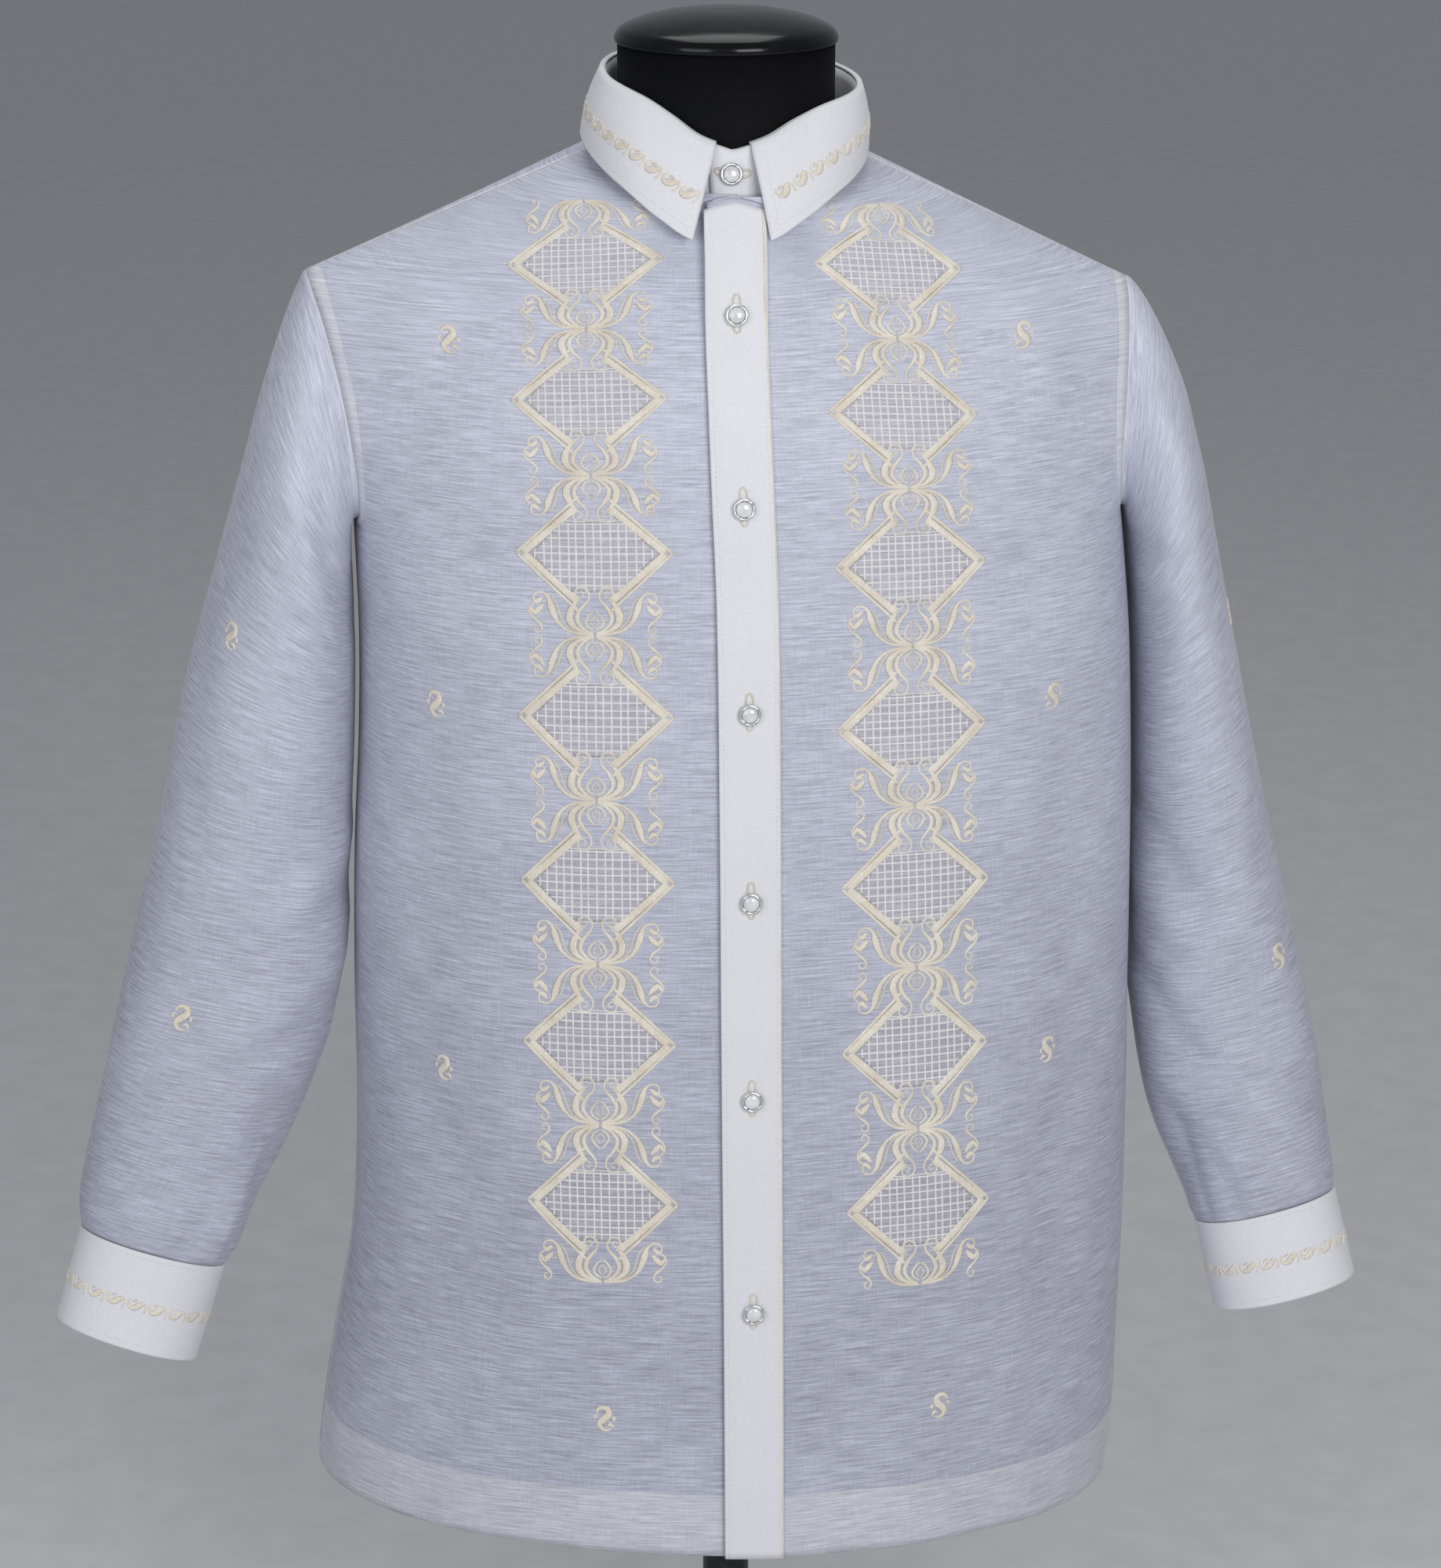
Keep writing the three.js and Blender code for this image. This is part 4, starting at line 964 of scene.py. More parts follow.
def leaf_turn(share, fall):
    """Angles along the leaf, whose ends lean apart toward its points."""
    start = mix(8, 15.5, fall)
    return mix(start, 360 - start, share)


def leaf_point(degrees, fall, out):
    turn = wrap_turn(degrees)
    top = stand_point(turn, 1, leaf_clear(turn) + BAND + 0.5)
    deep = np.where(np.abs(turn) < 90, LEAF_FRONT, LEAF_BACK)
    shift = mix(*LEAF_SHIFT, smooth(15, 70, np.abs(turn)))
    x = LEAF_WIDE * np.sin(turn * DEG) + shift
    y = NECK_Y - deep * np.cos(turn * DEG)
    low = settle(x, y, collar_height("edge", turn))
    point = mix(top, low, fall[..., None])
    away = unit(np.stack([np.sin(turn * DEG), -np.cos(turn * DEG), 0.25 + 0 * turn], -1))
    return point + away * (LEAF_BULGE * np.sin(math.pi * fall) + out)[..., None]


def make_leaf():
    share = np.linspace(0, 1, 180)[None, :]
    outer = []
    inner = []
    for out, drop in ((-1.3, 0.35), (-0.9, 0.1), (-0.3, 0), (0.4, 0.02), (0.9, 0.1)):
        degrees = leaf_turn(share, 0)
        clear = leaf_clear(wrap_turn(degrees)) * smooth(-1.3, 0.9, out)
        low = stand_point(degrees, 1, out + clear * 0.9)
        high = stand_point(degrees, 1, out + clear + 0.5 * smooth(-1.3, 0.9, out))
        low[..., 2] += LIE
        high[..., 2] += SEAM + BAND - drop
        outer.append(high[0])
        inner.append(low[0])
    for fall in np.concatenate([[0.04, 0.08, 0.14], np.linspace(0.22, 0.97, 12), [0.985, 1]]):
        degrees = leaf_turn(share, fall)
        at = np.full(degrees.shape, fall)
        outer.append(leaf_point(degrees, at, 0)[0])
        inner.append(leaf_point(degrees, at, -BAND)[0])
    outer, inner = np.array(outer)[:, ::-1], np.array(inner)[:, ::-1]
    soften(outer, inner, (-1,))
    obj = cloth_shell("collar_leaf_cloth", outer, None, 0, arc_uv(outer), inner=inner)
    return dress(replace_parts(obj, "collar_leaf"), "opaque_cloth", OPAQUE), outer[:6:-1, ::-1]


collar_stand = make_stand()
collar_leaf, leaf_grid = make_leaf()

# Placket
PLACKET_TOP = 1.58     # the row of the left front where the placket ends


def placket_normal(v):
    """Outward direction of the left front under the placket."""
    row = np.minimum(v, PLACKET_TOP - 0.02)
    tilt = panel_base(-1, 1, 0.02, row + 0.01) - panel_base(-1, 1, 0.02, row - 0.01)
    over = panel_base(-1, 1, 0.05, row) - panel_base(-1, 1, 0.02, row)
    return unit(np.cross(over, tilt))


def placket_points(across, v, out):
    """Points of the placket's width, moved out from the left front."""
    ax = inner_edge(-1, 1, v)[0]
    bx = outer_edge(-1, 1, v)[0]
    q = (across - PLACKET_HALF + LAP_LEFT) / (bx - ax)
    base = panel_base(-1, 1, q, v)
    return base + placket_normal(v) * (LIE + np.asarray(out)[..., None])


PLACKET_ROWS = np.linspace(0.01 / UNDERARM, PLACKET_TOP - 0.008, 200)


def make_placket():
    v = PLACKET_ROWS[:, None]
    across = np.array([0, 0.5, 1.4, 2.2, 3.2, 8, 13, 17, 21, 26, 30.8, 31.8, 32.6, 33.5, 34])
    edge = np.minimum(across, 2 * PLACKET_HALF - across)
    press = 0.55 * np.exp(-((edge / 0.7) ** 2)) + 0.28 * np.exp(-(((edge - 2.2) / 0.5) ** 2))
    wave = 0.35 * np.sin(v * 31) * np.exp(-((across - 8) / 9) ** 2)
    clear = 0.5 * smooth(PLACKET_TOP - 0.03, PLACKET_TOP, v)
    outer = placket_points(across[None, :], v, BAND - press[None, :] - 0.3 + wave + clear)
    inner = placket_points(across[None, :], v, 0 * wave + clear)
    obj = cloth_shell("placket_cloth", outer, None, 0, arc_uv(outer), inner=inner)
    return dress(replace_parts(obj, "placket"), "opaque_cloth", OPAQUE), outer


placket, placket_grid = make_placket()


# Dress form and its stand
FORM_INSET = 0.7       # the smooth form lies this far inside its faceted solid
FORM_SPANS = 128


def make_torso():
    shoulders = np.linspace(680, 790, 60)
    h = np.concatenate([np.linspace(FORM_LOW, 680, 60), shoulders[1:], [FORM_NECK, NECK_TOP]])
    h = h[:, None]
    turn = np.linspace(0, 2 * math.pi, FORM_SPANS + 1)[None, :-1]
    power = 2 / column(FORM, "round", h)
    c = np.cos(turn)
    s = np.sin(turn)
    deep = np.where(s < 0, column(FORM, "front", h), column(FORM, "back", h)) - FORM_INSET
    x = (column(FORM, "wide", h) - FORM_INSET) * np.sign(c) * np.abs(c) ** power
    y = deep * np.sign(s) * np.abs(s) ** power
    drop = np.where(h < UNDERARM, 0, x * column(TILT, "body", h) * smooth(NECK_TOP, FORM_NECK, h))
    points = np.stack(np.broadcast_arrays(x, y, HEM_Z + h - drop), -1)
    return tube_mesh("form_torso_smooth", points)


def tube_mesh(name, points):
    """Closed tube through rings of points, with a flat face at each end."""
    return make_mesh(name, points.reshape(-1, 3), tube_faces(*points.shape[:2]))


def bend(points, count):
    """Smooth line of count points through a few rows of values."""
    points = np.asarray(points, float)
    ends = np.concatenate([[2 * points[0] - points[1]], points, [2 * points[-1] - points[-2]]])
    at = np.linspace(0, len(points) - 1, count)
    i = np.minimum(at.astype(int), len(points) - 2)
    t = (at - i)[:, None]
    a, b, c, d = (ends[i + k] for k in range(4))
    return b + 0.5 * t * (c - a + t * (2 * a - 5 * b + 4 * c - d + t * (3 * b - 3 * c + d - a)))


def turned(profile, spans):
    """Radius, height and angle of rings from a profile whose ends are on the axis."""
    profile = np.asarray(profile, float)[1:-1]
    turn = np.linspace(0, 2 * math.pi, spans + 1)[None, :-1]
    return profile[:, :1] + 0 * turn, profile[:, 1:] + 0 * turn, turn


def lathe(name, profile, spans, z, sharp=40):
    """Turned piece at a height z, with crisp edges where faces meet at sharp degrees or more."""
    r, up, turn = turned(profile, spans)
    obj = tube_mesh(name, np.stack([r * np.cos(turn), r * np.sin(turn), z + up], -1))
    obj.data.set_sharp_from_angle(angle=sharp * DEG)
    return obj


CAP_RIM = [(0, 0), (60.6, 0), (61.7, 0.5), (62, 1.6), (61.9, 3.4), (61.2, 5)]
CAP_DOME = [(61.2, 5), (59.2, 7.4), (55, 9.8), (47, 12.7), (34, 15.6), (19, 17.4), (0.2, 18)]
BASE_PROFILE = [
    (0, 0), (BASE_R - 0.8, 0), (BASE_R, 0.8), (BASE_R, 4.4), (BASE_R - 0.6, 5.6), (BASE_R - 4, 9),
    (40, 15), (21, BASE_TOP - 0.6), (19.6, BASE_TOP), (0, BASE_TOP),
]
POLE_PROFILE = [(0, 0), (13.9, 0), (13.9, POLE_TOP - 0.5), (13.4, POLE_TOP), (0, POLE_TOP)]


def make_form():
    dress(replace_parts(make_torso(), "form_torso"), "form_cloth", FLOCK)
    profile = CAP_RIM + bend(CAP_DOME, 40)[1:].tolist() + [(0, 18)]
    cap = lathe("form_cap_smooth", profile, 128, HEM_Z + NECK_TOP)
    dress(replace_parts(cap, "form_cap"), "form_gloss", GLOSS)
    pole = lathe("form_pole_smooth", POLE_PROFILE, 64, BASE_TOP)
    dress(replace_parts(pole, "form_pole"), "stand_metal", STEEL)
    base = lathe("form_base_smooth", BASE_PROFILE, 144, 0, 8)
    dress(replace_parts(base, "form_base"), "stand_metal", STEEL)


make_form()


# Surfaces that stitches and embroidery lie on
class Patch:
    """Part of a surface with sizes of its own: u across it and t up it, in millimetres."""

    def __init__(self, points, reach, rise=None, step=2.0):
        middle = points.shape[1] // 2
        self.reach = reach
        self.step = step
        u = np.arange(-reach, reach + step, step)
        made = []
        self.widths = []
        for row in points:
            arc = run_of(row)
            made.append([np.interp(u, arc - arc[middle], row[:, k]) for k in range(3)])
            self.widths.append(arc[-1])
        made = np.array(made).transpose(0, 2, 1)
        rise = run_of(made[:, len(u) // 2]) if rise is None else rise
        self.start = rise[0]
        self.top = rise[-1]
        t = np.arange(rise[0], rise[-1] + step, step)
        made = [[np.interp(t, rise, made[:, j, k]) for k in range(3)] for j in range(len(u))]
        self.points = np.array(made).transpose(2, 0, 1)
        self.normals = grid_normals(self.points)

    def wide(self, share):
        """Width of the surface at a share of its height."""
        return np.interp(share, np.linspace(0, 1, len(self.widths)), self.widths)

    def tall(self, u):
        """Height of the surface at u, as a share of its middle's height."""
        j = int(round((u + self.reach) / self.step))
        there, middle = steps_of(self.points[:, [j, self.points.shape[1] // 2]]).sum(0)
        return there / middle

    def at(self, u, t, lift=0.0):
        """Points of the surface, moved out by lift, and its normals there."""
        rows, cols = self.points.shape[:2]
        i = np.clip((np.asarray(t) - self.start) / self.step, 0, rows - 1.001)
        j = np.clip((np.asarray(u) + self.reach) / self.step, 0, cols - 1.001)
        a = i.astype(int)
        b = j.astype(int)
        f = (i - a)[..., None]
        g = (j - b)[..., None]

        def take(grid):
            low = mix(grid[a, b], grid[a, b + 1], g)
            return mix(low, mix(grid[a + 1, b], grid[a + 1, b + 1], g), f)

        normals = unit(take(self.normals))
        return take(self.points) + normals * np.asarray(lift)[..., None], normals


class Strokes:
    """Satin stitches: closed, crowned ribbons that lie on patches, joined in one mesh."""

    def __init__(self):
        self.verts = []
        self.faces = []
        self.uvs = []
        self.count = 0

    def put(self, points, faces, uvs):
        self.verts.append(points)
        self.uvs.append(uvs)
        self.faces += [[i + self.count for i in face] for face in faces]
        self.count += len(points)

    def ribbon(self, patch, line, lift=THREAD, section=None):
        """line has a row of u, t and width for each point."""
        along = np.gradient(line[:, :2], axis=0)
        along /= np.maximum(np.linalg.norm(along, axis=1, keepdims=True), 1e-6)
        out = np.stack([along[:, 1], -along[:, 0]], 1) * line[:, 2:] / 2
        if section is None:
            section = CROWN if line[:, 2].max() > 1.3 else CORD
        u = line[:, :1] + out[:, :1] * section[:, 0]
        t = line[:, 1:2] + out[:, 1:] * section[:, 0]
        points = patch.at(u, t, lift * section[:, 1])[0]
        run = run_of(line[:, :2])[:, None]
        uvs = np.stack(np.broadcast_arrays(run * MM, section[:, 0] * line[:, 2:] / 2 * MM), -1)
        self.put(points.reshape(-1, 3), tube_faces(*points.shape[:2]), uvs.reshape(-1, 2))

    def stitch(self, points, normals, pitch=2.7, long=1.9, wide=0.5, lift=0.2):
        """A row of small stitches along a line of points."""
        arc = run_of(points)
        at = np.arange(pitch / 2, arc[-1], pitch)
        centre = along_line(at, arc, points)
        ahead = along_line(at + 0.5, arc, points)
        normal = unit(along_line(at, arc, normals))
        along = unit(ahead - centre)
        beside = np.cross(along, normal)
        for c, d, b, n in zip(centre, along, beside, normal):
            ends = [c - d * long / 2, c + d * long / 2, c - b * wide / 2, c + b * wide / 2]
            corners = np.array(ends + [c + n * lift, c - n * 0.1])
            self.put(corners, STITCH_FACES, np.zeros((6, 2)))

    def make(self, name, slot, material):
        obj = make_mesh(name, np.concatenate(self.verts), self.faces, np.concatenate(self.uvs))
        return dress(obj, slot, material)


CROWN = np.array([(-1, 0), (-0.62, 0.8), (0, 1), (0.62, 0.8), (1, 0), (0.7, -0.4), (-0.7, -0.4)])
CORD = np.array([(-1, 0), (0, 1), (1, 0), (0, -0.5)])
STITCH_FACES = [
    [0, 2, 4], [2, 1, 4], [1, 3, 4], [3, 0, 4], [2, 0, 5], [1, 2, 5], [3, 1, 5], [0, 3, 5],
]


def grid_tree(grid):
    quads = quads_of(grid_index(*grid.shape[:2])).reshape(-1, 4)
    return BVHTree.FromPolygons(grid.reshape(-1, 3).tolist(), quads.tolist())


def seen_points(tree, x, z):
    """Points of a surface straight behind places x, z of a picture plane before it."""
    x, z = np.broadcast_arrays(x, z)
    made = np.empty(x.shape + (3,))
    for place in np.ndindex(x.shape):
        hit = tree.ray_cast(Vector((x[place], -400, z[place])), Vector((0, 1, 0)))[0]
        made[place] = (x[place], np.nan, z[place]) if hit is None else hit
    for row in made:
        known = row[~np.isnan(row[:, 1])]
        known = known[np.argsort(known[:, 0])]
        row[:, 1] = np.interp(row[:, 0], known[:, 0], known[:, 1])
    return made


front_trees = {-1: grid_tree(right_grid), 1: grid_tree(left_grid)}


# Embroidered columns: places of the diamonds' centres, and how far their rows drop outward
PITCH = 95.5           # from one diamond's centre to the next
DIAMONDS = 7
COLUMNS = table(
    "t right_x right_h right_drop left_x left_h left_drop",
    (-8, -82, 160, 0.015, 100, 151, 0.015), (0, -82, 168.2, 0.015, 100, 159.3, 0.015),
    (47.8, -82, 216, 0.015, 99.5, 207, 0.015), (143.3, -83, 311.6, 0.01, 96.2, 303, 0.01),
    (238.8, -83, 406, 0.01, 95.3, 400, 0.01), (334.3, -83, 500.6, 0.015, 92.2, 491, 0.015),
    (429.8, -83, 592, 0.02, 91.3, 582, 0.02), (525.3, -84.5, 673.6, 0.05, 87.9, 663, 0.08),
    (620.8, -84, 743, 0.08, 82.7, 738, 0.1), (672, -83, 775, 0.09, 79, 771, 0.1),
)
DIAMOND = (43.5, 44)   # half width and half height
FRAME = ((0.9, 1.9, 8.5), (4.6, 4.9, 9.5))  # inset, width and open end of its two lines
FLOWER_WEIGHT = 1.25   # the flowers' strokes are this much wider than their tables say
NET = (34.5, 38)       # half width and half height of the drawn net
NET_LOW = -22.5        # the net is cut off level here
NET_HIGH = 19.5        # and here
NET_PITCH = 4.6
NET_LINE = 1.6         # width of its threads

# A quarter of the flower between two diamonds: strokes of places from its middle, with widths
FLOWER = [
    [(0.4, -3, 0.8), (3.6, -5, 1.1), (4.9, -8, 1.3), (3.2, -11.5, 1.1), (0.2, -14.5, 0.6)],
    [(0.2, -5.2, 0.6), (1.9, -7, 0.9), (1.8, -8.8, 0.9), (0.1, -11.4, 0.5)],
    [
        (1, -1.2, 1), (5.5, -3.4, 1.5), (9, -7.6, 2), (9.2, -12, 2.3), (6.6, -16.6, 1.8),
        (3.4, -20.6, 1.2), (3, -25, 1), (5.8, -28, 0.9), (9.6, -27.2, 0.9), (10.4, -24, 0.9),
        (8.2, -22, 0.8), (6, -23.4, 0.7), (6.8, -25.6, 0.7), (8.2, -24.8, 0.6),
    ],
    [
        (0.4, -0.8, 1), (8, -2.8, 1.8), (12.6, -6.4, 3.2), (13.8, -11, 3.8), (12.2, -16, 3.2),
        (9.6, -20, 1.6), (7.6, -21, 0.8),
    ],
    [
        (0.3, -0.4, 0.9), (9, -0.9, 1.1), (15, -2.8, 1.3), (20, -7, 1.9), (22.6, -12, 3),
        (24.2, -17, 3.3), (25.6, -21.6, 1.9), (28.6, -24.4, 1.1), (32.4, -24, 1), (33.8, -21.4, 1),
        (33, -18.4, 1.2),
    ],
    [(3, -1, 0.7), (12, -2.6, 0.9), (17.4, -7.6, 0.9), (19.4, -13.4, 1), (21, -18.6, 0.9), (24, -22.8, 0.8)],
    [(35.8, -15.4, 1), (33.6, -12.6, 2.6), (30.8, -14.6, 3), (28.4, -17.6, 1)],
    [(33.2, -18.6, 2), (30.8, -19.6, 2.6), (28.8, -21.8, 1)],
    [
        (33.2, -18.4, 1), (35.9, -16, 1), (36.2, -12.6, 1), (34, -9.4, 1.1), (31.4, -7.2, 1.6),
        (29.5, -4.8, 1.1), (29.8, -2.2, 0.9), (31.6, -1.1, 0.8), (33.4, -2.2, 0.8),
        (33.3, -4.2, 0.7), (31.8, -4.8, 0.6),
    ],
]


def column_patch(side):
    """Surface under a column of embroidery, with t up the column."""
    name = side_name(side)
    t = np.arange(COLUMNS["t"][0], COLUMNS["t"][-1], 3.0)[:, None]
    across = np.arange(-54, 54.1, 3.0)[None, :]
    x = column(COLUMNS, name + "_x", t) + across
    drop = side * column(COLUMNS, name + "_drop", t) * across
    z = HEM_Z + column(COLUMNS, name + "_h", t) - drop
    return Patch(seen_points(front_trees[side], x, z), 50, t[:, 0])


def straight(start, end, width, count):
    """Straight line of a patch from one place (u, t) to another."""
    s = np.linspace(0, 1, count)
    return np.stack([mix(start[0], end[0], s), mix(start[1], end[1], s), width + 0 * s], 1)


def add_flower(strokes, patch, middle, ways):
    """Half flowers below and above a place between two diamonds."""
    for way in ways:
        for mirror in (-1, 1):
            for rows in FLOWER:
                line = bend(rows, 6 * len(rows) - 5)
                line[:, 0] *= mirror
                line[:, 2] *= FLOWER_WEIGHT
                line[:, 1] = middle - way * line[:, 1]
                strokes.ribbon(patch, line)


def add_frame(strokes, patch, middle):
    """Diamond of a thin line and a wide satin band inside it, open where the flowers are."""
    wide, high = DIAMOND
    slope = math.hypot(1 / wide, 1 / high)
    for inset, width, end in FRAME:
        share = 1 - inset * slope
        for mirror in (-1, 1):
            for way in (-1, 1):
                stop = high * share * (1 - end / (wide * share))
                corner = (mirror * (wide * share + width * 0.45), middle)
                tip = (mirror * end, middle + way * stop)
                strokes.ribbon(patch, straight(corner, tip, width, 22))


def net_half(t):
    """Half the net's width at a height from its diamond's middle."""
    return NET[0] * (1 - np.abs(t) / NET[1])


def add_net(net, threads, patch, middle):
    """Drawn-thread grid that fills a diamond."""
    t = np.linspace(NET_LOW, NET_HIGH, 21)[:, None]
    u = np.linspace(-1, 1, 32)[None, :] * net_half(t)
    outer, inner = (patch.at(u, middle + t + 0 * u, lift)[0] for lift in (0.16, 0.04))
    index = grid_index(*outer.shape[:2])
    rims = (index[0], index[-1][::-1], index[::-1, 0], index[:, -1])
    faces = wall_faces(quads_of(index).reshape(-1, 4), rims, index.size)
    flat = np.stack([u + 0 * t, t + 0 * u], -1).reshape(-1, 2) * MM
    points = np.concatenate([outer.reshape(-1, 3), inner.reshape(-1, 3)])
    net.put(points, faces, np.concatenate([flat, flat]))
    for k in range(-8, 9):
        wander = 0.35 * math.sin(k * 2.3 + middle)
        place = k * NET_PITCH
        if NET_LOW < place < NET_HIGH:
            reach = net_half(place)
            line = straight((-reach, middle + place), (reach, middle + place), NET_LINE, 26)
            line[:, 1] += wander
            threads.ribbon(patch, line, 0.36, CORD)
        reach = NET[1] * (1 - abs(place) / NET[0])
        if reach > 2:
            low = (place, middle + max(NET_LOW, -reach))
            line = straight(low, (place, middle + min(NET_HIGH, reach)), NET_LINE, 18)
            line[:, 0] += wander
            threads.ribbon(patch, line, 0.34, CORD)
    for rim, way in ((NET_LOW, -1), (NET_HIGH, 1)):
        reach = net_half(rim)
        line = straight((-reach, middle + rim), (reach, middle + rim), 1.1, 30)
        line[:, 1] += way * 0.7 * np.abs(np.cos(line[:, 0] / reach * math.pi))
        threads.ribbon(patch, line, 0.4)


def embroider_column(side):
    patch = column_patch(side)
    satin = Strokes()
    net = Strokes()
    threads = Strokes()
    for k in range(DIAMONDS + 1):
        ways = {0: (1,), DIAMONDS: (-1,)}.get(k, (-1, 1))
        add_flower(satin, patch, k * PITCH, ways)
    for k in range(DIAMONDS):
        add_frame(satin, patch, (k + 0.5) * PITCH)
        add_net(net, threads, patch, (k + 0.5) * PITCH)
    name = side_name(side)
    satin.make("embroidery_" + name, "embroidery", SATIN)
    net.make("net_" + name, "sheer_cloth", DRAWN)
    threads.make("net_threads_" + name, "embroidery", NET_THREAD)


embroider_column(-1)
embroider_column(1)

# Sprigs, and the chains along the collar and the cuffs: strokes of places with widths
SPRIG = [
    [
        (-4.4, 3.4, 1), (-3.6, 5.8, 1.8), (-0.6, 6.8, 2.4), (2.2, 5.4, 3.2), (2, 2.4, 4),
        (-0.6, -0.4, 4.2), (-2.8, -3, 3.4), (-1.8, -6, 2.2), (1.2, -7, 1.4), (3.4, -6.2, 0.8),
    ],
    [(-5.4, -0.4, 0.8), (-5.6, 1.4, 1.6), (-4.2, 2.2, 0.8)],
    [(1.6, -3.8, 0.9), (3.6, -3.4, 2), (5.4, -5.2, 1)],
    [(4.4, 1.4, 0.8), (5.6, 0.2, 1.6), (4.6, -1, 0.8)],
]
FRONT_SPRIGS = {
    -1: [(-157.6, 699.6), (-169, 498.7), (-168.5, 284.8), (-81.6, 84.9)],
    1: [(158.6, 697), (175, 498), (176, 287.7), (113, 81.9)],
}
SLEEVE_SPRIGS = {-1: [(-281.5, 528.7), (-317, 309.4)], 1: [(287.9, 525.2), (320, 319.9)]}
CHAIN_PITCH = 12.6
CHAIN = [
    [
        (-4.4, 3, 0.8), (-5.4, 1, 1.3), (-4.2, -1.4, 2.1), (-1.7, -1.7, 3.3), (1, 0.2, 3.8),
        (3.1, 2, 2.2), (4.5, 1.3, 1.3), (5.2, -0.6, 1.1), (4.8, -2.6, 1.5), (4.1, -3.7, 0.8),
    ],
    [(-3.2, 1.6, 0.7), (-1.9, 2.7, 1.3), (-0.3, 3.3, 0.7)],
]


def add_motif(strokes, patch, rows, u, t, mirror=1, tall=1.0, weight=1.0):
    """A motif round a place of a patch; tall is the patch's height there, as a share."""
    for part in rows:
        line = bend(part, 5 * len(part) - 4)
        line[:, 2] *= weight
        line[:, 0] = u + mirror * line[:, 0]
        line[:, 1] = t + line[:, 1] / tall
        strokes.ribbon(patch, line)


def front_patch(side, x, h):
    """Small part of a front round a place of the picture plane."""
    reach = np.arange(-14, 14.1, 2.0)
    points = seen_points(front_trees[side], x + reach[None, :], HEM_Z + h + reach[:, None])
    return Patch(points, 10)


def sleeve_patch(grid, x, h):
    """Surface round the front point of a sleeve that is nearest to a place of the picture."""
    away = np.linalg.norm(grid[..., [0, 2]] - (x, HEM_Z + h), axis=-1) + (grid[..., 1] - 40) / 50
    row, col = np.unravel_index(away.argmin(), away.shape)
    cols = np.arange(col - 4, col + 5) % grid.shape[1]
    points = grid[row - 4:row + 5][:, cols]
    if points[0, 0, 2] > points[-1, 0, 2]:
        points = points[::-1]
    outward = grid[row, col] - grid[row].mean(0)
    if np.dot(grid_normals(points)[4, 4], outward) < 0:
        points = points[:, ::-1]
    return Patch(points, 10)


def sprigs(name, patches, mirror):
    """One sprig in the middle of each patch, all in one mesh."""
    strokes = Strokes()
    for patch in patches:
        add_motif(strokes, patch, SPRIG, 0, patch.top / 2, mirror, weight=1.2)
    strokes.make(name, "embroidery", SATIN)


def chain(name, patch, share, margin):
    """Row of small S shapes at a share of a band's height, all along it."""
    strokes = Strokes()
    long = patch.wide(share) - 2 * margin
    count = round(long / CHAIN_PITCH)
    for k in range(count):
        u = (k - (count - 1) / 2) * long / count
        add_motif(strokes, patch, CHAIN, u, share * patch.top, 1, patch.tall(u))
    strokes.make(name, "embroidery", SATIN)


for side, grid in ((-1, sleeve_right_grid), (1, sleeve_left_grid)):
    patches = [front_patch(side, x, h) for x, h in FRONT_SPRIGS[side]]
    sprigs("front_sprigs_" + side_name(side), patches, -side)
    patches = [sleeve_patch(grid, x, h) for x, h in SLEEVE_SPRIGS[side]]
    sprigs("sleeve_sprigs_" + side_name(side), patches, -side)

leaf_patch = Patch(leaf_grid, 245)
cuff_patches = {-1: Patch(cuff_right_grid, 132), 1: Patch(cuff_left_grid, 132)}
chain("collar_chain", leaf_patch, 0.5, 6)
for side, patch in cuff_patches.items():
    chain("cuff_chain_" + side_name(side), patch, 0.46, 4)


# Buttons and their buttonholes
RIM_PROFILE = [
    (0, 0), (BUTTON_R - 0.8, 0), (BUTTON_R - 0.2, 0.5), (BUTTON_R, 1.3), (BUTTON_R - 0.1, 2),
    (BUTTON_R - 0.4, 2.5), (5.4, 2.8), (4.85, 2.6), (4.5, 2), (4.4, 1.2), (0, 1.2),
]
PEARL_PROFILE = [
    (0, 1.25), (4.25, 1.25), (4.35, 1.8), (4.1, 2.4), (3.5, 2.85), (2.7, 3.2), (1.6, 3.42), (0.1, 3.5),
    (0, 3.5),
]
PRONG = 0.55           # the rim's four claws reach this far over the pearl


def make_button(number, node, centre, facing):
    """Pearl dome held in a metal rim with four claws."""
    beside = unit(np.cross((0, 0, 1), facing))
    above = np.cross(facing, beside)
    for kind, profile in (("rim", RIM_PROFILE), ("pearl", PEARL_PROFILE)):
        r, up, turn = turned(profile, 48)
        if kind == "rim":
            claw = np.exp(-((((turn / (math.pi / 2)) % 1 - 0.5) / 0.14) ** 2))
            inner = smooth(5.6, 5, r) * smooth(1.5, 2.2, up)
            r = r - PRONG * claw * inner
            up = up + 0.3 * claw * smooth(1.8, 2.5, up)
        x = (r * np.cos(turn))[..., None] * beside
        y = (r * np.sin(turn))[..., None] * above
        obj = tube_mesh(f"{kind}_{number}", centre + x + y + up[..., None] * facing)
        if kind == "rim":
            dress(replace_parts(obj, node), "button_rim", CHROME)
        else:
            dress(obj, "pearl_button", PEARL)


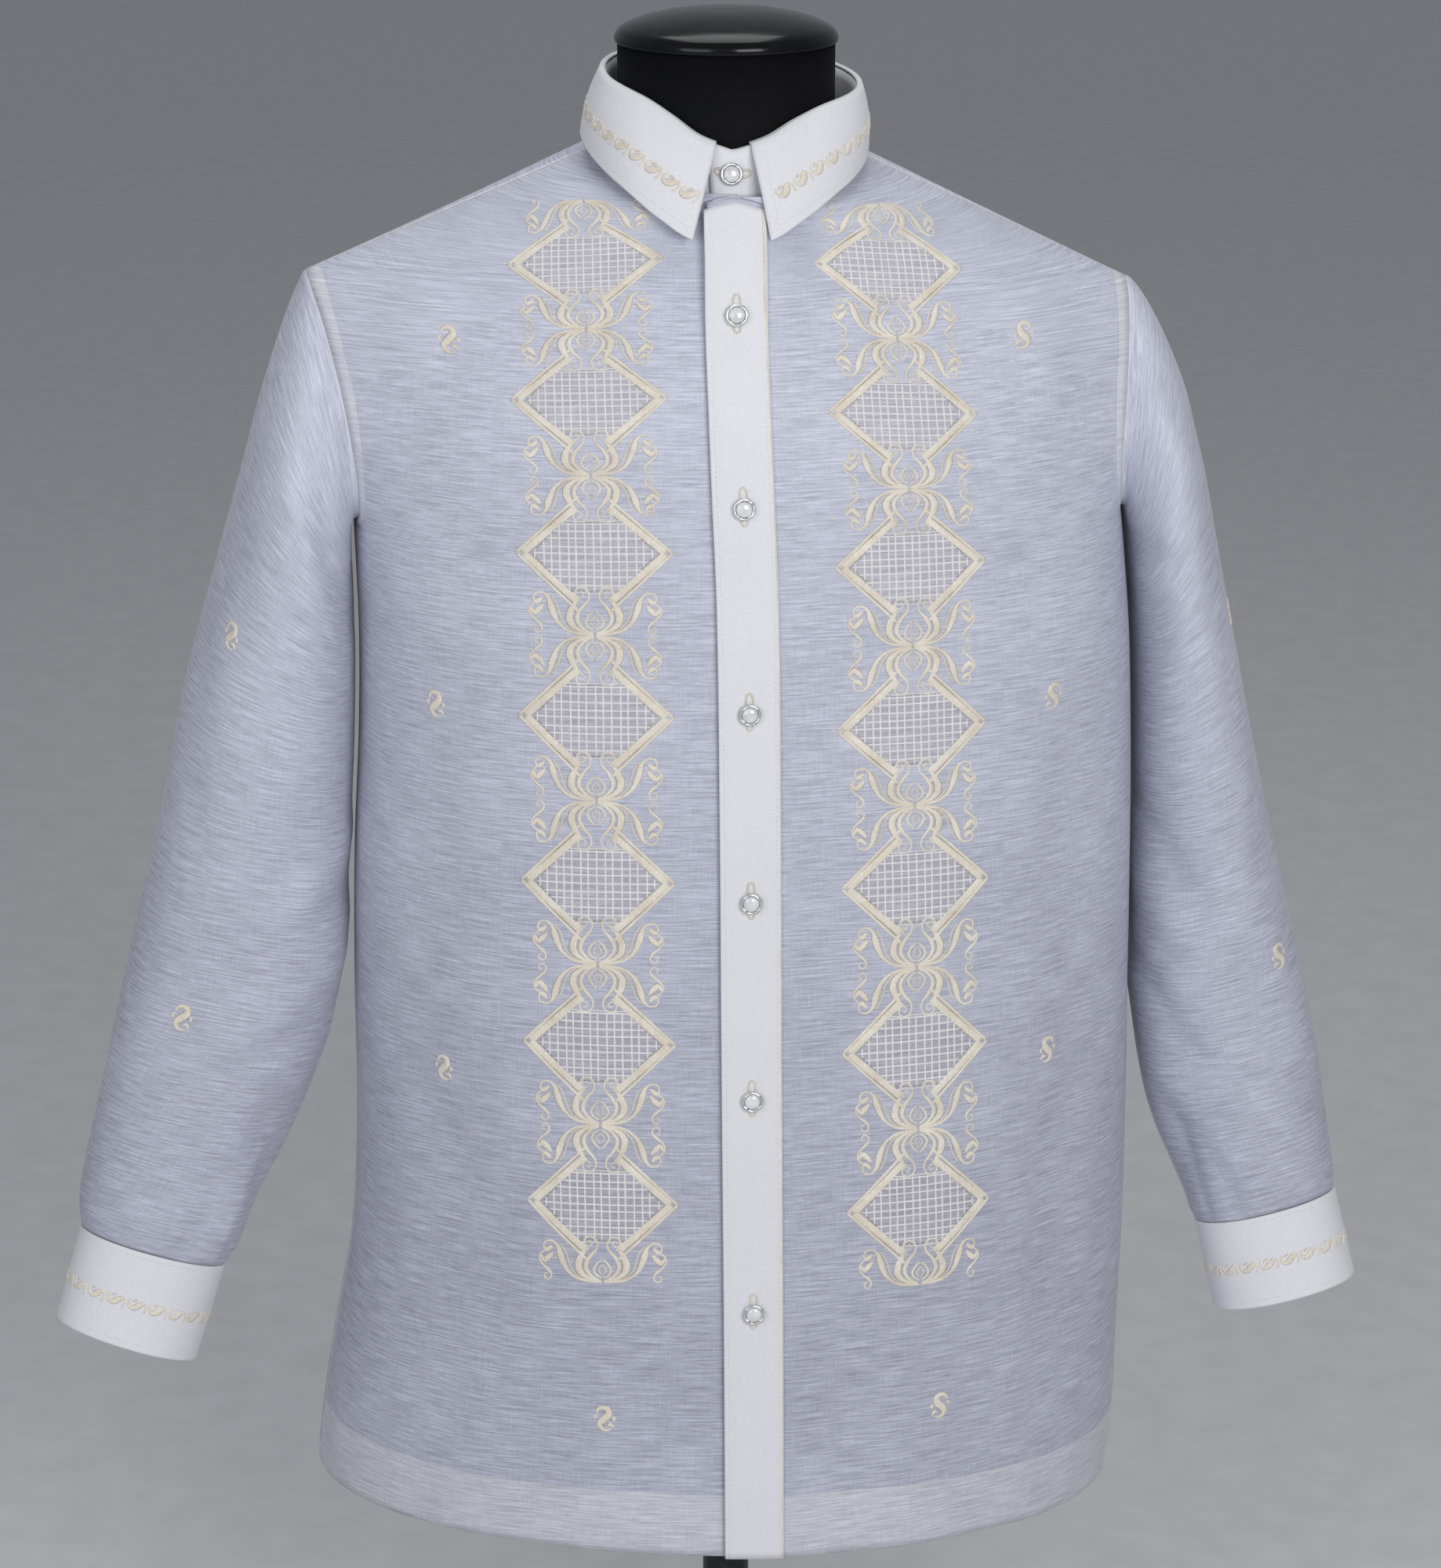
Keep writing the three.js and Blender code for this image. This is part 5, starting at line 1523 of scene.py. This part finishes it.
def buttonhole(strokes, patch, u, t, long, upright=True):
    """Closed line of satin stitches round a slit."""
    turn = np.linspace(0, 2 * math.pi, 41)
    ends = np.sign(np.sin(turn)) * np.abs(np.sin(turn)) ** 0.5 * long / 2
    sides = np.sign(np.cos(turn)) * np.abs(np.cos(turn)) ** 0.6 * 2.1
    line = np.stack([u + sides, t + ends] if upright else [u + ends, t + sides])
    strokes.ribbon(patch, np.stack([*line, 1.3 + 0 * turn], 1), 0.4)


def centre_row(h):
    """Row of the fronts' centre line at a height."""
    above = 1 + (h - UNDERARM) / (neck_height(0) - UNDERARM) * (1 - FRONT_NECK)
    return h / UNDERARM if h <= UNDERARM else above


placket_patch = Patch(placket_grid, PLACKET_HALF)
holes = Strokes()


def placket_buttons():
    """Buttons 2 to 7 down the placket's centre, each with an upright buttonhole."""
    run = run_of(placket_grid[:, 7])
    for number, h in enumerate(BUTTON_HEIGHTS, 2):
        v = np.array([[centre_row(h)]])
        facing = placket_normal(v)[0, 0]
        centre = placket_points(np.array([[PLACKET_HALF]]), v, np.array([[BAND]]))[0, 0]
        make_button(number, f"button_{number}", centre + facing * 0.35, facing)
        buttonhole(holes, placket_patch, 0, np.interp(v[0, 0], PLACKET_ROWS, run) + 1.2, 20.5)


def stand_button():
    """Button 1 on the stand's lap, with a level buttonhole."""
    raised = BAND + SEAM
    low, high = (stand_point(np.array(-2.0), up, raised) for up in (0.25, 0.75))
    up = unit(high - low)
    facing = unit(np.cross((1, 0, 0), up))
    make_button(1, "button_1", (low + high) / 2 + facing * 0.4, facing)
    turn = np.linspace(-20, 16, 30)[None, :]
    rows = np.linspace(0.05, 0.95, 8)[:, None]
    patch = Patch(stand_point(turn, rows, raised + 0.1), 18)
    buttonhole(holes, patch, 0, patch.top / 2, 19, upright=False)


def cuff_button(side):
    """Button on a cuff's lap, with a buttonhole along the cuff."""
    raised = BAND + SEAM
    at, beside, below = (
        cuff_point(side, np.array(CUFF_LAP_AT + turn), s, raised)
        for turn, s in ((0.0, 0.5), (3.0, 0.5), (0.0, 0.6))
    )
    facing = unit(np.cross(beside - at, below - at))
    facing = facing if facing[1] > 0 else -facing
    name = "cuff_button_" + side_name(side)
    make_button("cuff_" + side_name(side), name, at + facing * 0.4, facing)
    degrees = CUFF_LAP_AT + side * np.linspace(14, -14, 15)[None, :]
    rows = np.linspace(0.9, 0.1, 10)[:, None]
    lap = Patch(cuff_point(side, degrees, rows, raised + 0.1), 12)
    buttonhole(holes, lap, 0, lap.top / 2, 18, upright=False)


placket_buttons()
stand_button()
for side in (-1, 1):
    cuff_button(side)
holes.make("buttonholes", "embroidery", SATIN)


# Seams and edges
def stitch_patch(strokes, patch, u, t):
    """Stitches along a line of a patch; u or t may be one value for the whole line."""
    strokes.stitch(*patch.at(*np.broadcast_arrays(u + 0.0, t + 0.0)))


def stitch_panels(strokes):
    """Stitches along the top of the hem and beside the armholes."""
    panels = ((right_grid, right_normals), (left_grid, left_normals), (back_grid, back_normals))
    for grid, normals in panels:
        strokes.stitch(grid[HEM_ROWS - 1], normals[HEM_ROWS - 1])
    rows = ROWS[:, 0] >= 1
    for panel, at in ((0, 3), (1, -4), (2, 3), (2, -4)):
        grid, normals = panels[panel]
        strokes.stitch(grid[rows, at], normals[rows, at])


def stitch_bands(strokes):
    """Stitches beside the edges of the placket, the collar's leaf and the cuffs."""
    t = np.linspace(2, placket_patch.top - 3, 400)
    for u in (-14.4, 14.4):
        stitch_patch(strokes, placket_patch, u, t)
    reach = leaf_patch.widths[0] / 2 - 4.5
    stitch_patch(strokes, leaf_patch, np.linspace(-reach, reach, 320), 4.2)
    t = np.linspace(4.2, leaf_patch.top - 4, 40)
    for end in (-1, 1):
        u = end * (leaf_patch.wide(t / leaf_patch.top) / 2 - 4.5)
        stitch_patch(strokes, leaf_patch, u, t)
    for patch in cuff_patches.values():
        reach = min(patch.widths) / 2
        u = np.linspace(-reach + 4, reach - 4, 160)
        stitch_patch(strokes, patch, u, 4.2)
        stitch_patch(strokes, patch, u, patch.top - 3.2)


stitches = Strokes()
stitch_panels(stitches)
stitch_bands(stitches)
stitches.make("stitching", "opaque_cloth", WHITE_THREAD)

edging = Strokes()
edging.ribbon(placket_patch, straight((16, 1), (16, placket_patch.top - 1), 1.5, 320), 0.3)
edging.make("placket_edging", "embroidery", SATIN)

# Floor, in metres
floor = bpy.data.objects.new("floor", bpy.data.meshes.new("floor"))
floor.data.from_pydata([(-40, -40, 0), (40, -40, 0), (40, 40, 0), (-40, 40, 0)], [], [(0, 1, 2, 3)])
bpy.context.collection.objects.link(floor)
floor.data.materials.append(
    plain_material("floor", rgb(0.62, 0.62, 0.63), rgb(0.67, 0.67, 0.68), 30, 0.8, 0.0001)
)


# Light, with places and sizes in metres
def area_light(name, place, aim, size, watts, colour=(1, 1, 1)):
    data = bpy.data.lights.new(name, "AREA")
    data.energy = watts
    data.size = size
    data.color = colour
    lamp = bpy.data.objects.new(name, data)
    lamp.location = place
    lamp.rotation_euler = (Vector(aim) - Vector(place)).to_track_quat("-Z", "Y").to_euler()
    bpy.context.collection.objects.link(lamp)


area_light("key", (1.1, -3.2, 1.9), (0, 0, 0.7), 1.6, 54)
area_light("fill", (-1.9, -2.6, 1.7), (0, 0, 0.65), 1.8, 25, (0.95, 0.97, 1))
area_light("top", (0, 0.6, 2.9), (0, 0, 0.7), 1.4, 15)
world = bpy.data.worlds.new("world")
bpy.context.scene.world = world
world.use_nodes = True
world.node_tree.nodes["Background"].inputs[0].default_value = (0.9, 0.93, 1, 1)
world.node_tree.nodes["Background"].inputs[1].default_value = 0.27
bpy.context.scene.view_settings.view_transform = "Standard"
